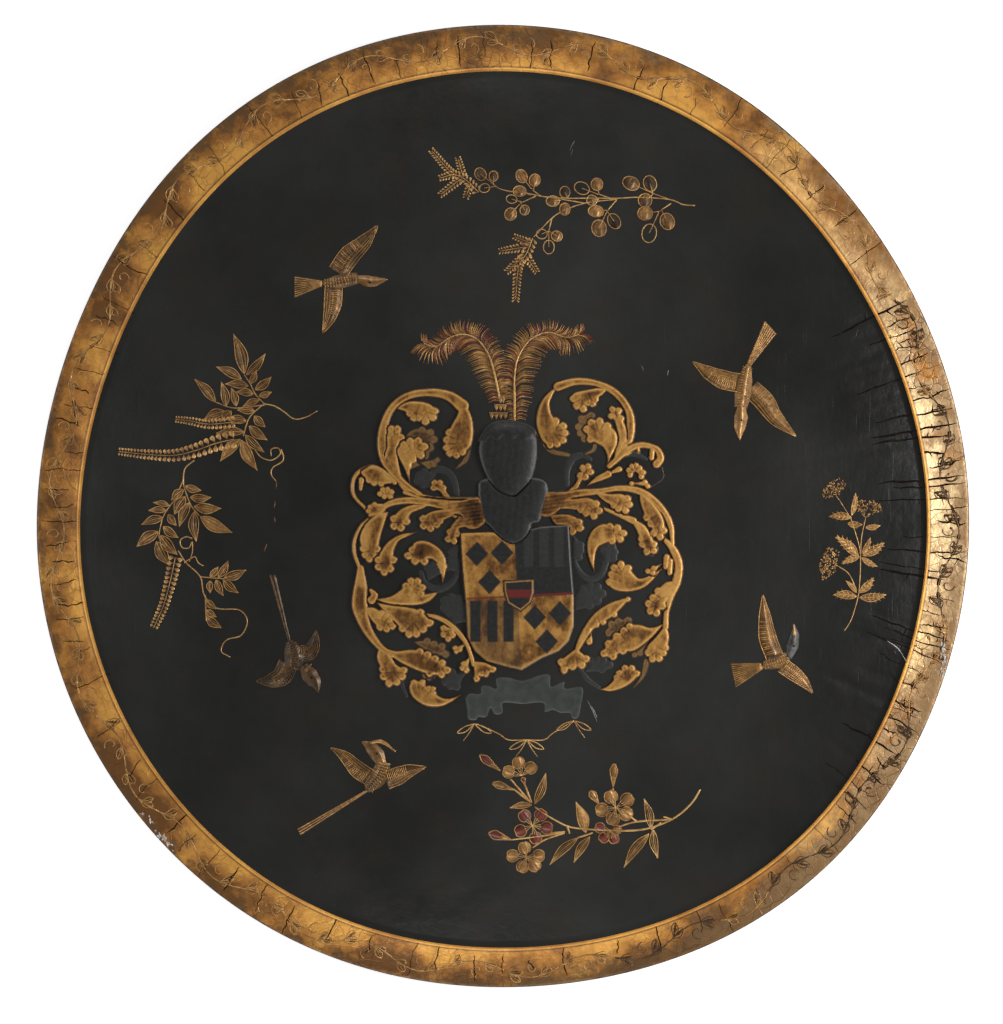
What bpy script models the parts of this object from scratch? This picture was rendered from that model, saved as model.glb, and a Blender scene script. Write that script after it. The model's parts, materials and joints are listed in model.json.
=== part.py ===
"""Lacquered hide shield, lying face up on its rim.

Metres, +Z up. The flat ring under the rim lies in the plane z = 0, the middle of the
shield's extents is the origin, and +Y points to the top of the arms. The hide is one
moulded disc, and the arms and their leaves stand up from its face in the same piece.
"""

import math

import bmesh
import bpy
from mathutils import Vector

# The hide disc
MEAN_DIAMETER = 0.600
FACE_RISE = 0.060
HIDE_THICKNESS = 0.005

# The gilt band round the face, a little wider at the top of the shield
BAND_WIDTH = 0.0275
BAND_EXTRA = 0.0022
BAND_WIDEST_AT = 100.0

# The bead along the band's inner edge
BEAD_WIDTH = 0.0022
BEAD_RISE = 0.0008

# The rim, which flattens out and rests on a flat ring
RIM_SLOPE = 0.20
RIM_THICKNESS = 0.006
RIM_ROUNDING = 0.0012
FOOT_WIDTH = 0.006
FOOT_LIP = 0.0025

# How far the hide has warped out of round: waves round the rim, each wave's depth as a
# share of the mean radius, and the angle of its first crest in degrees from +X
WARP = (
    (1, 0.0105, -94.9),
    (2, 0.0183, -83.9),
    (3, 0.0093, -28.4),
    (4, 0.0021, 37.1),
    (6, 0.0023, 6.9),
)

# Facets
SEGMENTS = 72
FIELD_RINGS = 7
UNDER_RINGS = 5
BAND_RINGS = 3

# The arms. Their places are pixels of the photo, (x, y) with y down, and the height of
# the arms sets how large a pixel is on the shield
ARMS_HEIGHT = 0.2475
ARMS_PIXELS = 391.0
PHOTO_MIDDLE = (502.5, 505.5)
PIXEL = ARMS_HEIGHT / ARMS_PIXELS

# How far each kind of relief stands up from the face, and how deep its foot is sunk in
HELM_RISE = 0.0042
BUST_RISE = 0.0026
ESCUTCHEON_RISE = 0.0017
INNER_SHIELD_RISE = 0.0024
LEAF_RISE = 0.0011
LEAF_STEP = 0.00012
STEM_RISE = 0.0015
RELIEF_SINK = 0.0015
DRAPE_STEP = 0.022
WELD_REACH = 0.0001

HELM = ((480, 437), (479, 455), (484, 474), (495, 488), (513, 495), (527, 484),
        (534, 465), (535, 446), (533, 434), (521, 428), (506, 426), (491, 429))
BUST = ((475, 494), (480, 516), (491, 534), (513, 543), (529, 534), (532, 522),
        (541, 518), (547, 492), (536, 478), (484, 479))
ESCUTCHEON = ((461, 533), (464, 566), (465, 599), (467, 640), (483, 659), (521, 669),
              (558, 651), (572, 632), (573, 596), (570, 560), (568, 525), (513, 541))
INNER_SHIELD = ((504, 580), (505, 596), (511, 605), (520, 610), (529, 603), (533, 593),
                (533, 578))

# Each leaf: root, tip, width in pixels, number of fingers, and sideways bend as a share
# of its length
LEFT_LEAVES = (
    ((466, 406), (453, 455), 34, 3, 0.05),
    ((400, 478), (395, 424), 17, 3, 0.06),
    ((410, 482), (418, 438), 25, 3, 0.06),
    ((404, 402), (432, 424), 22, 3, -0.08),
    ((384, 470), (366, 482), 15, 3, 0.0),
    ((396, 504), (384, 489), 20, 3, 0.0),
    ((388, 514), (367, 507), 17, 3, 0.0),
    ((456, 500), (433, 482), 20, 3, 0.10),
    ((425, 506), (394, 522), 15, 3, -0.06),
    ((455, 510), (425, 525), 17, 3, -0.06),
    ((383, 515), (366, 557), 22, 3, 0.10),
    ((418, 533), (384, 566), 23, 3, -0.12),
    ((442, 579), (409, 551), 26, 3, -0.25),
    ((366, 603), (392, 622), 27, 3, 0.10),
    ((382, 592), (422, 588), 19, 3, -0.10),
    ((378, 598), (428, 628), 22, 5, 0.06),
    ((390, 651), (446, 668), 24, 5, 0.06),
    ((380, 643), (396, 680), 26, 3, 0.10),
    ((460, 692), (417, 687), 26, 3, 0.20),
    ((471, 661), (486, 678), 20, 3, 0.0),
    ((462, 518), (448, 542), 15, 3, 0.0),
)
RIGHT_LEAVES = (
    ((545, 401), (562, 446), 34, 3, -0.05),
    ((614, 458), (612, 406), 17, 3, -0.06),
    ((602, 471), (589, 424), 29, 3, -0.08),
    ((606, 391), (575, 405), 22, 3, 0.08),
    ((641, 454), (656, 466), 13, 3, 0.0),
    ((632, 488), (634, 466), 21, 3, 0.0),
    ((565, 492), (583, 468), 15, 3, 0.0),
    ((562, 502), (597, 510), 20, 3, 0.06),
    ((555, 513), (579, 530), 17, 3, 0.0),
    ((590, 492), (628, 506), 19, 3, 0.08),
    ((648, 502), (656, 531), 13, 3, 0.0),
    ((605, 511), (647, 551), 21, 3, 0.10),
    ((591, 573), (618, 533), 26, 3, 0.25),
    ((661, 566), (612, 573), 26, 5, -0.08),
    ((673, 580), (650, 607), 25, 3, -0.08),
    ((662, 622), (604, 651), 27, 5, -0.08),
    ((664, 626), (652, 657), 24, 3, -0.08),
    ((571, 655), (607, 614), 22, 3, 0.15),
    ((598, 690), (632, 667), 24, 3, -0.15),
    ((556, 662), (581, 667), 15, 3, 0.0),
)

# Each stem: the points that it runs through, and its widths in pixels at its start, its
# middle and its end
STEMS = (
    (((430, 497), (397, 475), (382, 442), (393, 405), (433, 393), (464, 413)), (5, 7, 13)),
    (((397, 482), (368, 467), (353, 486), (366, 508)), (4, 5, 3)),
    (((477, 512), (455, 507), (405, 501), (366, 526), (359, 572)), (24, 7, 5)),
    (((366, 564), (356, 592), (364, 624), (391, 656)), (6, 14, 5)),
    (((430, 613), (459, 631), (471, 668)), (3, 5, 5)),
    (((605, 462), (628, 434), (619, 393), (581, 380), (542, 409)), (5, 7, 13)),
    (((619, 457), (645, 444), (661, 456), (654, 467)), (7, 5, 3)),
    (((547, 506), (570, 497), (622, 487), (665, 517), (677, 573), (665, 628)), (24, 7, 6)),
    (((574, 504), (606, 510), (640, 527)), (5, 5, 4)),
    (((604, 691), (622, 688), (633, 677)), (4, 5, 3)),
)
STEM_SAMPLES = 3

LACQUER_COLOUR = (0.016, 0.015, 0.014, 1.0)
LACQUER_ROUGHNESS = 0.32


def rim_radius(angle):
    """Radius of the warped rim at an angle from +X, about the disc's own centre."""
    warp = sum(depth * math.cos(waves * (angle - math.radians(crest)))
               for waves, depth, crest in WARP)
    return MEAN_DIAMETER / 2 * (1 + warp)


def band_width(angle):
    """Width of the gilt band at an angle from +X."""
    return BAND_WIDTH + BAND_EXTRA * math.cos(angle - math.radians(BAND_WIDEST_AT))


def disc_centre():
    """Where the disc's own centre lies when the middle of its extents is the origin."""
    angles = [2 * math.pi * step / SEGMENTS for step in range(SEGMENTS)]
    xs = [rim_radius(angle) * math.cos(angle) for angle in angles]
    ys = [rim_radius(angle) * math.sin(angle) for angle in angles]
    return Vector((-(min(xs) + max(xs)) / 2, -(min(ys) + max(ys)) / 2, 0))


CENTRE = disc_centre()
FIELD_RADIUS = MEAN_DIAMETER / 2 - BAND_WIDTH
FIELD_SLOPE = 2 * FACE_RISE / FIELD_RADIUS
BAND_DROP = BAND_WIDTH * (FIELD_SLOPE + RIM_SLOPE) / 2


def field_height(share):
    """Height of the face inside the band, by the share of the way out from its middle."""
    return RIM_THICKNESS + BAND_DROP + FACE_RISE * (1 - share * share)


def band_height(share):
    """Height of the face on the band, by the share of the way across it, going out."""
    fall = FIELD_SLOPE * share - (FIELD_SLOPE - RIM_SLOPE) * share * share / 2
    return RIM_THICKNESS + BAND_DROP - BAND_WIDTH * fall


def face_height(x, y):
    """Height of the face over a place in plan."""
    offset = Vector((x, y, 0)) - CENTRE
    angle = math.atan2(offset.y, offset.x)
    inner = rim_radius(angle) - band_width(angle)
    if offset.length <= inner:
        return field_height(offset.length / inner)
    return band_height(min(1.0, (offset.length - inner) / band_width(angle)))


def hide_profile():
    """Half section of the disc as (radius, height), from the crown out, round and back."""
    rim = MEAN_DIAMETER / 2
    points = [(FIELD_RADIUS * ring / FIELD_RINGS, field_height(ring / FIELD_RINGS))
              for ring in range(FIELD_RINGS + 1)]
    for share, rise in ((0.5, BEAD_RISE), (1.0, 0.0)):
        across = BEAD_WIDTH * share
        points.append((FIELD_RADIUS + across, band_height(across / BAND_WIDTH) + rise))
    band_end = BAND_WIDTH - RIM_ROUNDING
    for ring in range(1, BAND_RINGS + 1):
        across = BEAD_WIDTH + (band_end - BEAD_WIDTH) * ring / BAND_RINGS
        points.append((FIELD_RADIUS + across, band_height(across / BAND_WIDTH)))
    points += [(rim, RIM_THICKNESS - RIM_ROUNDING), (rim, RIM_ROUNDING),
               (rim - RIM_ROUNDING, 0.0), (rim - RIM_ROUNDING - FOOT_WIDTH, 0.0)]
    hollow_edge = rim - RIM_ROUNDING - FOOT_WIDTH - FOOT_LIP
    across = hollow_edge - FIELD_RADIUS
    points.append((hollow_edge, band_height(across / BAND_WIDTH) - HIDE_THICKNESS))
    for ring in range(UNDER_RINGS, -1, -1):
        share = ring / UNDER_RINGS
        wall = HIDE_THICKNESS * math.hypot(1.0, FIELD_SLOPE * share)
        points.append((FIELD_RADIUS * share, field_height(share) - wall))
    return points


def warp_out_of_round(mesh):
    """Carry a round disc's points to the warped rim and band, and centre its extents."""
    for vert in mesh.verts:
        radius = math.hypot(vert.co.x, vert.co.y)
        angle = math.atan2(vert.co.y, vert.co.x)
        band = band_width(angle)
        inner = rim_radius(angle) - band
        if radius <= FIELD_RADIUS:
            warped = inner * radius / FIELD_RADIUS
        else:
            warped = inner + band * (radius - FIELD_RADIUS) / BAND_WIDTH
        vert.co.x = CENTRE.x + warped * math.cos(angle)
        vert.co.y = CENTRE.y + warped * math.sin(angle)


def new_object(name, mesh, material=None):
    """Make a scene object from a bmesh."""
    data = bpy.data.meshes.new(name)
    mesh.to_mesh(data)
    mesh.free()
    if material:
        data.materials.append(material)
    thing = bpy.data.objects.new(name, data)
    bpy.context.collection.objects.link(thing)
    return thing


def hide_disc(material):
    """The moulded disc of hide, turned from its half section and warped."""
    mesh = bmesh.new()
    verts = [mesh.verts.new((radius, 0, height)) for radius, height in hide_profile()]
    edges = [mesh.edges.new(pair) for pair in zip(verts, verts[1:])]
    bmesh.ops.spin(mesh, geom=verts + edges, cent=(0, 0, 0), axis=(0, 0, 1),
                   angle=2 * math.pi, steps=SEGMENTS, use_merge=True)
    bmesh.ops.remove_doubles(mesh, verts=mesh.verts, dist=0.00001)
    warp_out_of_round(mesh)
    bmesh.ops.recalc_face_normals(mesh, faces=mesh.faces)
    bmesh.ops.triangulate(mesh, faces=mesh.faces)
    return new_object("hide_shield", mesh, material)


def on_face(spot):
    """Place in plan of a pixel of the photo."""
    return Vector(((spot[0] - PHOTO_MIDDLE[0]) * PIXEL, (PHOTO_MIDDLE[1] - spot[1]) * PIXEL, 0))


def flat_shape(mesh, outline):
    """Fill an outline in plan, as triangles at the level of the face."""
    face = mesh.faces.new([mesh.verts.new(point) for point in outline])
    if face.normal.z < 0:
        face.normal_flip()
    return bmesh.ops.triangulate(mesh, faces=[face], ngon_method='EAR_CLIP')["faces"]


def raise_shape(mesh, faces, rise):
    """Give flat faces a top at their rise above the face, and sink their foot into it."""
    foot = {vert for face in faces for vert in face.verts}
    raised = bmesh.ops.extrude_face_region(mesh, geom=faces)["geom"]
    for item in raised:
        if isinstance(item, bmesh.types.BMVert):
            item.co.z = rise
    for vert in foot:
        vert.co.z = -RELIEF_SINK


def plate(outline, rise):
    """A flat-topped plate that follows the face, cut into strips so that it can bend."""
    shape = bmesh.new()
    raise_shape(shape, flat_shape(shape, [on_face(spot) for spot in outline]), rise)
    for axis in (Vector((1, 0, 0)), Vector((0, 1, 0))):
        along = [vert.co.dot(axis) for vert in shape.verts]
        cuts = int((max(along) - min(along)) / DRAPE_STEP)
        for cut in range(1, cuts + 1):
            at = min(along) + (max(along) - min(along)) * cut / (cuts + 1)
            bmesh.ops.bisect_plane(shape, geom=shape.verts[:] + shape.edges[:] + shape.faces[:],
                                   plane_co=axis * at, plane_no=axis)
    return drape(shape)


def crowned(outline, rise):
    """A rounded form over an outline: rings drawn in towards its middle as they rise."""
    crown = bmesh.new()
    points = [on_face(spot) for spot in outline]
    middle = sum(points, Vector()) / len(points)
    levels = ((1.0, -RELIEF_SINK), (1.0, rise * 0.35), (0.86, rise * 0.78), (0.5, rise))
    rings = []
    for scale, level in levels:
        ring = [crown.verts.new(middle + (point - middle) * scale + Vector((0, 0, level)))
                for point in points]
        rings.append([crown.edges.new((ring[step - 1], ring[step]))
                      for step in range(len(ring))])
        if len(rings) > 1:
            bmesh.ops.bridge_loops(crown, edges=rings[-2] + rings[-1])
    bmesh.ops.holes_fill(crown, edges=rings[0] + rings[-1], sides=0)
    return drape(crown)


def leaf_outline(root, tip, width, fingers, bend):
    """Outline of a fingered leaf: rounded fingers fan out from a heart near its root."""
    start = on_face(root)
    along = on_face(tip) - start
    across = Vector((-along.y, along.x, 0)).normalized() * width * PIXEL
    heart = 0.42
    fan = math.radians(80)
    spacing = 2 * fan / (fingers - 1)
    rounding = ((-0.28, 0.90), (0.0, 1.0), (0.28, 0.90), (0.5, 0.62))
    shares = [(0.0, -0.10)]
    for finger in range(fingers):
        for turn, reach in rounding:
            if finger == fingers - 1 and turn > 0.4:
                continue
            angle = -fan + spacing * (finger + turn)
            shares.append((heart + (1 - heart) * reach * math.cos(angle),
                           0.5 * reach * math.sin(angle)))
    shares.append((0.0, 0.10))
    side = Vector((-along.y, along.x, 0)) * bend
    return [start + along * u + across * v + side * (4 * u * (1 - u)) for u, v in shares]


def smooth_run(points):
    """Points read evenly from the smooth curve that passes through the given points."""
    run = []
    for index in range(len(points) - 1):
        before = points[max(index - 1, 0)]
        here, there = points[index], points[index + 1]
        after = points[min(index + 2, len(points) - 1)]
        for step in range(STEM_SAMPLES):
            t = step / STEM_SAMPLES
            run.append(0.5 * (2 * here + (there - before) * t
                              + (2 * before - 5 * here + 4 * there - after) * t ** 2
                              + (3 * here - before - 3 * there + after) * t ** 3))
    run.append(points[-1])
    return run


def leaf(root, tip, width, fingers, bend, rise):
    """A fingered leaf, flat on top."""
    shape = bmesh.new()
    faces = flat_shape(shape, leaf_outline(root, tip, width, fingers, bend))
    raise_shape(shape, faces, rise)
    return drape(shape)


def stem(spots, widths):
    """A stem of changing width that runs through its points over the face."""
    run = smooth_run([on_face(spot) for spot in spots])
    first, middle, last = widths
    shape = bmesh.new()
    sides = []
    for index, point in enumerate(run):
        ahead = run[min(index + 1, len(run) - 1)] - run[max(index - 1, 0)]
        across = Vector((-ahead.y, ahead.x, 0)).normalized()
        share = index / (len(run) - 1)
        if share < 0.5:
            width = first + (middle - first) * share * 2
        else:
            width = middle + (last - middle) * (share * 2 - 1)
        reach = across * width * PIXEL / 2
        sides.append((shape.verts.new(point + reach), shape.verts.new(point - reach)))
    faces = [shape.faces.new((a[0], a[1], b[1], b[0])) for a, b in zip(sides, sides[1:])]
    raise_shape(shape, faces, STEM_RISE)
    return drape(shape)


def drape(shape):
    """Close up a shape and lay it over the face."""
    bmesh.ops.recalc_face_normals(shape, faces=shape.faces)
    bmesh.ops.triangulate(shape, faces=shape.faces)
    for vert in shape.verts:
        vert.co.z += face_height(vert.co.x, vert.co.y)
    return shape


def arms_shapes():
    """Everything that stands up from the face, one closed shape at a time."""
    yield plate(ESCUTCHEON, ESCUTCHEON_RISE)
    yield plate(INNER_SHIELD, INNER_SHIELD_RISE)
    yield crowned(BUST, BUST_RISE)
    yield crowned(HELM, HELM_RISE)
    for spots, widths in STEMS:
        yield stem(spots, widths)
    for side in (LEFT_LEAVES, RIGHT_LEAVES):
        for index, leaf_sizes in enumerate(side):
            yield leaf(*leaf_sizes, LEAF_RISE + LEAF_STEP * (index % 3))


def plan_box(shape):
    """Lowest and highest x and y of a shape."""
    xs = [vert.co.x for vert in shape.verts]
    ys = [vert.co.y for vert in shape.verts]
    return min(xs), max(xs), min(ys), max(ys)


def apart(one, other):
    """Whether two plan boxes stay clear of each other."""
    return one[1] < other[0] or other[1] < one[0] or one[3] < other[2] or other[3] < one[2]


def relief_layers():
    """Guide objects that hold the arms' shapes, none of which meets another in its layer."""
    layers = []
    for shape in arms_shapes():
        box = plan_box(shape)
        free = [layer for layer in layers if all(apart(box, other) for other in layer["boxes"])]
        if not free:
            free = [{"mesh": bmesh.new(), "boxes": []}]
            layers += free
        free[0]["boxes"].append(box)
        data = bpy.data.meshes.new("shape")
        shape.to_mesh(data)
        shape.free()
        free[0]["mesh"].from_mesh(data)
        bpy.data.meshes.remove(data)
    guides = []
    for index, layer in enumerate(layers):
        guide = new_object(f"relief_layer_{index + 1}", layer["mesh"])
        guide.hide_render = True
        guide.display_type = 'WIRE'
        guides.append(guide)
    return guides


def black_lacquer():
    """Material of the lacquered hide."""
    material = bpy.data.materials.new("black_lacquer")
    material.use_nodes = True
    shader = material.node_tree.nodes["Principled BSDF"]
    shader.inputs["Base Color"].default_value = LACQUER_COLOUR
    shader.inputs["Roughness"].default_value = LACQUER_ROUGHNESS
    shader.inputs["Metallic"].default_value = 0.0
    return material


def main():
    """Clear the scene, build the disc and unite the arms with it layer by layer.

    The exact solver loses the disc at the second layer, so the unions use the manifold one.
    """
    for thing in list(bpy.data.objects):
        bpy.data.objects.remove(thing, do_unlink=True)
    shield = hide_disc(black_lacquer())
    for guide in relief_layers():
        union = shield.modifiers.new(guide.name, 'BOOLEAN')
        union.operation = 'UNION'
        union.solver = 'MANIFOLD'
        union.object = guide
    weld = shield.modifiers.new("close_points", 'WELD')
    weld.merge_threshold = WELD_REACH


main()
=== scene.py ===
"""Looks of the lacquered hide shield: its hide and gilt border, and the arms, birds and
sprays in gold, red and grey lacquer on its face.

The shield lies face up on its rim. Places on the face are written as pixels of the
photo, as runs of x and y with y down. Lengths are metres where pixels aren't named.
"""

from __future__ import annotations

import json
import logging
import math
from dataclasses import dataclass, field
from enum import IntEnum, StrEnum

import bmesh
import bpy
import numpy as np
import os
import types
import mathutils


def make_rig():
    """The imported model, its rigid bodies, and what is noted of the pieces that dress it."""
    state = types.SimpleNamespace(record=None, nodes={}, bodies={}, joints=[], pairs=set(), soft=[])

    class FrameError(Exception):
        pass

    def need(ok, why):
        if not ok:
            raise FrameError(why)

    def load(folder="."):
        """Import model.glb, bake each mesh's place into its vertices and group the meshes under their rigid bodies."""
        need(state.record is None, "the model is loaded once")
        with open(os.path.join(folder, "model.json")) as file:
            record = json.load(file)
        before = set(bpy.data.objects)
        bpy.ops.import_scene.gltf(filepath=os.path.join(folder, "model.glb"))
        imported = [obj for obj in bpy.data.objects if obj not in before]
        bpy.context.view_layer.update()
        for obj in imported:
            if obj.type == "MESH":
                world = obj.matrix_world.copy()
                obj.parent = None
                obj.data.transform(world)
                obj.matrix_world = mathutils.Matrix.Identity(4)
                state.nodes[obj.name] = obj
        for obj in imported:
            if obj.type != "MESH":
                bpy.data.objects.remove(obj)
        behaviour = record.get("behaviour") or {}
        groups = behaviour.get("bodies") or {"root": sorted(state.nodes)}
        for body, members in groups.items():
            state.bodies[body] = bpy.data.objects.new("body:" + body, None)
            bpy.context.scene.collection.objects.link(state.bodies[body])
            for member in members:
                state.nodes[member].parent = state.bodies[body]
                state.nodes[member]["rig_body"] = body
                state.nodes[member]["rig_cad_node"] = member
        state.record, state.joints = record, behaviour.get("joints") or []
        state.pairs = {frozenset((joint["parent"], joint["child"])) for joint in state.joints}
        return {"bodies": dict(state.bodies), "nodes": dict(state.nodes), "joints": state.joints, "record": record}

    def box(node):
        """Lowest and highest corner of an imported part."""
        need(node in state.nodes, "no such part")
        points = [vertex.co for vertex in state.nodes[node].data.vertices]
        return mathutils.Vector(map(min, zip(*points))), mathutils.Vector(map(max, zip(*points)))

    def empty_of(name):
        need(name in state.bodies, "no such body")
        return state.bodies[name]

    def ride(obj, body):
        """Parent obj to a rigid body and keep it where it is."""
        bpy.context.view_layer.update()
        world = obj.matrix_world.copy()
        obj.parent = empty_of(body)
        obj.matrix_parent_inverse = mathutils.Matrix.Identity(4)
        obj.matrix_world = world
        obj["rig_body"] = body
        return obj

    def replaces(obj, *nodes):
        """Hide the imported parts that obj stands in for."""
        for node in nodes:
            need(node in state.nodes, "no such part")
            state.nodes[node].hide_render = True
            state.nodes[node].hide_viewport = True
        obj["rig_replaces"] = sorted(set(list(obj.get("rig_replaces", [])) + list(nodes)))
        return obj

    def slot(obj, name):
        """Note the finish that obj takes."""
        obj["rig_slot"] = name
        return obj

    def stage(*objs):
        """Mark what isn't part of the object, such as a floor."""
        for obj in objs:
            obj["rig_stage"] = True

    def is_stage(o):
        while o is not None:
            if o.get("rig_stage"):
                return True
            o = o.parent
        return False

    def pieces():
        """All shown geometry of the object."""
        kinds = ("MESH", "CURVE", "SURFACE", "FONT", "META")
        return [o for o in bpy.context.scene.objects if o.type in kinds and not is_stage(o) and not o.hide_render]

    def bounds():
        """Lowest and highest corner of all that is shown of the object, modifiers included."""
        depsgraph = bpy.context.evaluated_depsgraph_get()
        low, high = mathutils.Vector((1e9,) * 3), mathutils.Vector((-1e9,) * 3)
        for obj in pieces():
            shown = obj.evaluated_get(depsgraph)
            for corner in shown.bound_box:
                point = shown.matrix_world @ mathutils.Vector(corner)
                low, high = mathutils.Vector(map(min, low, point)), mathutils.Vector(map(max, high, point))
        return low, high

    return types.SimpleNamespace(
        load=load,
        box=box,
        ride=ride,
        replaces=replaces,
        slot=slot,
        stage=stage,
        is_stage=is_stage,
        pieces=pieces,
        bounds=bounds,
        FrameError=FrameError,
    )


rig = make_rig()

LOG = logging.getLogger("shield")

Array = np.ndarray
Spot = tuple[float, float]
Path = tuple[float, ...] | Array
Widths = tuple[float, ...] | Array
Colour = tuple[float, float, float]
Triple = tuple[float, float, float]
Socket = bpy.types.NodeSocket
Shape = bpy.types.Object
Material = bpy.types.Material
NodeTree = bpy.types.NodeTree

HIDE_NODE = "hide_shield"
BODY = "root"
EVERYWHERE = (slice(None), slice(None))

# How far thin strokes stand up: a wash, a flat line and a ridge.
WASH = 0.00003
FLAT = 0.00004
RIDGE = 0.00010


class Paint(IntEnum):
    """The lacquers that the pictures are painted with, in the order of their materials."""

    GOLD = 0
    RED = 1
    GREY = 2
    GREEN = 3
    INK = 4
    LOSS = 5


class Coat(IntEnum):
    """How the mantling's stems and leaves are finished, the lowest first."""

    BLACK = 0
    BROWN = 1
    GOLD = 2


class Slot(StrEnum):
    """Names of the record's material slots."""

    HIDE = "lacquered_hide"
    GOLD = "gold_lacquer"
    COLOURS = "coloured_lacquer"


@dataclass(frozen=True)
class Photo:
    """Turns pixels of the photo into places on the shield, seen from straight above.

    Attributes:
        pixel: Size of a photo pixel on the shield.
        middle: Pixel of the middle of the shield's extents.
        size: Pixels across and down the photo.
        outline_width: Pixels across the shield's outline.
    """

    pixel: float
    middle: Spot = (502.5, 505.5)
    size: Spot = (1003.0, 1024.0)
    outline_width: float = 932.0

    @classmethod
    def of_frame(cls) -> "Photo":
        """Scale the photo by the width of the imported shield."""
        low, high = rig.box(HIDE_NODE)
        return cls(pixel=(high[0] - low[0]) / cls.outline_width)

    def place(self, spots: Array) -> Array:
        """Places in plan of an array of pixels."""
        spots = np.asarray(spots, float)
        return (spots - self.middle) * (self.pixel, -self.pixel)


@dataclass(frozen=True)
class Crease:
    """A fold or crack that runs in from the rim.

    Attributes:
        angle: Where it crosses the rim, in radians from +X.
        inner: Distance from the shield's centre where it ends.
        depth: How deep the hide sinks along it.
        lean: How far its inner end swings round, in radians.
    """

    angle: float
    inner: float
    depth: float
    lean: float


def crack_plan(seed: int = 11) -> list[Crease]:
    """Lay out the cracks round the rim: close together on the right, few elsewhere.

    Args:
        seed: Seed of the random spacing.

    Returns:
        The creases, in order of their angle.
    """
    draw = np.random.default_rng(seed)
    creases = []
    angle = -180.0
    while angle < 180.0:
        right = -44 < angle < 27
        left = angle > 158 or angle < -158
        step = 1.6 if right else 2.8 if left else 4.4
        reach = 0.018 if right else 0.006
        depth = 0.00034 if right else 0.00008
        inner = 0.268 - reach * draw.gamma(1.6, 1.0)
        creases.append(Crease(math.radians(angle), inner, depth * draw.uniform(0.3, 1.0),
            math.radians(draw.uniform(-1.2, 1.2))))
        angle += step * draw.uniform(0.55, 1.5)
    return creases


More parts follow.
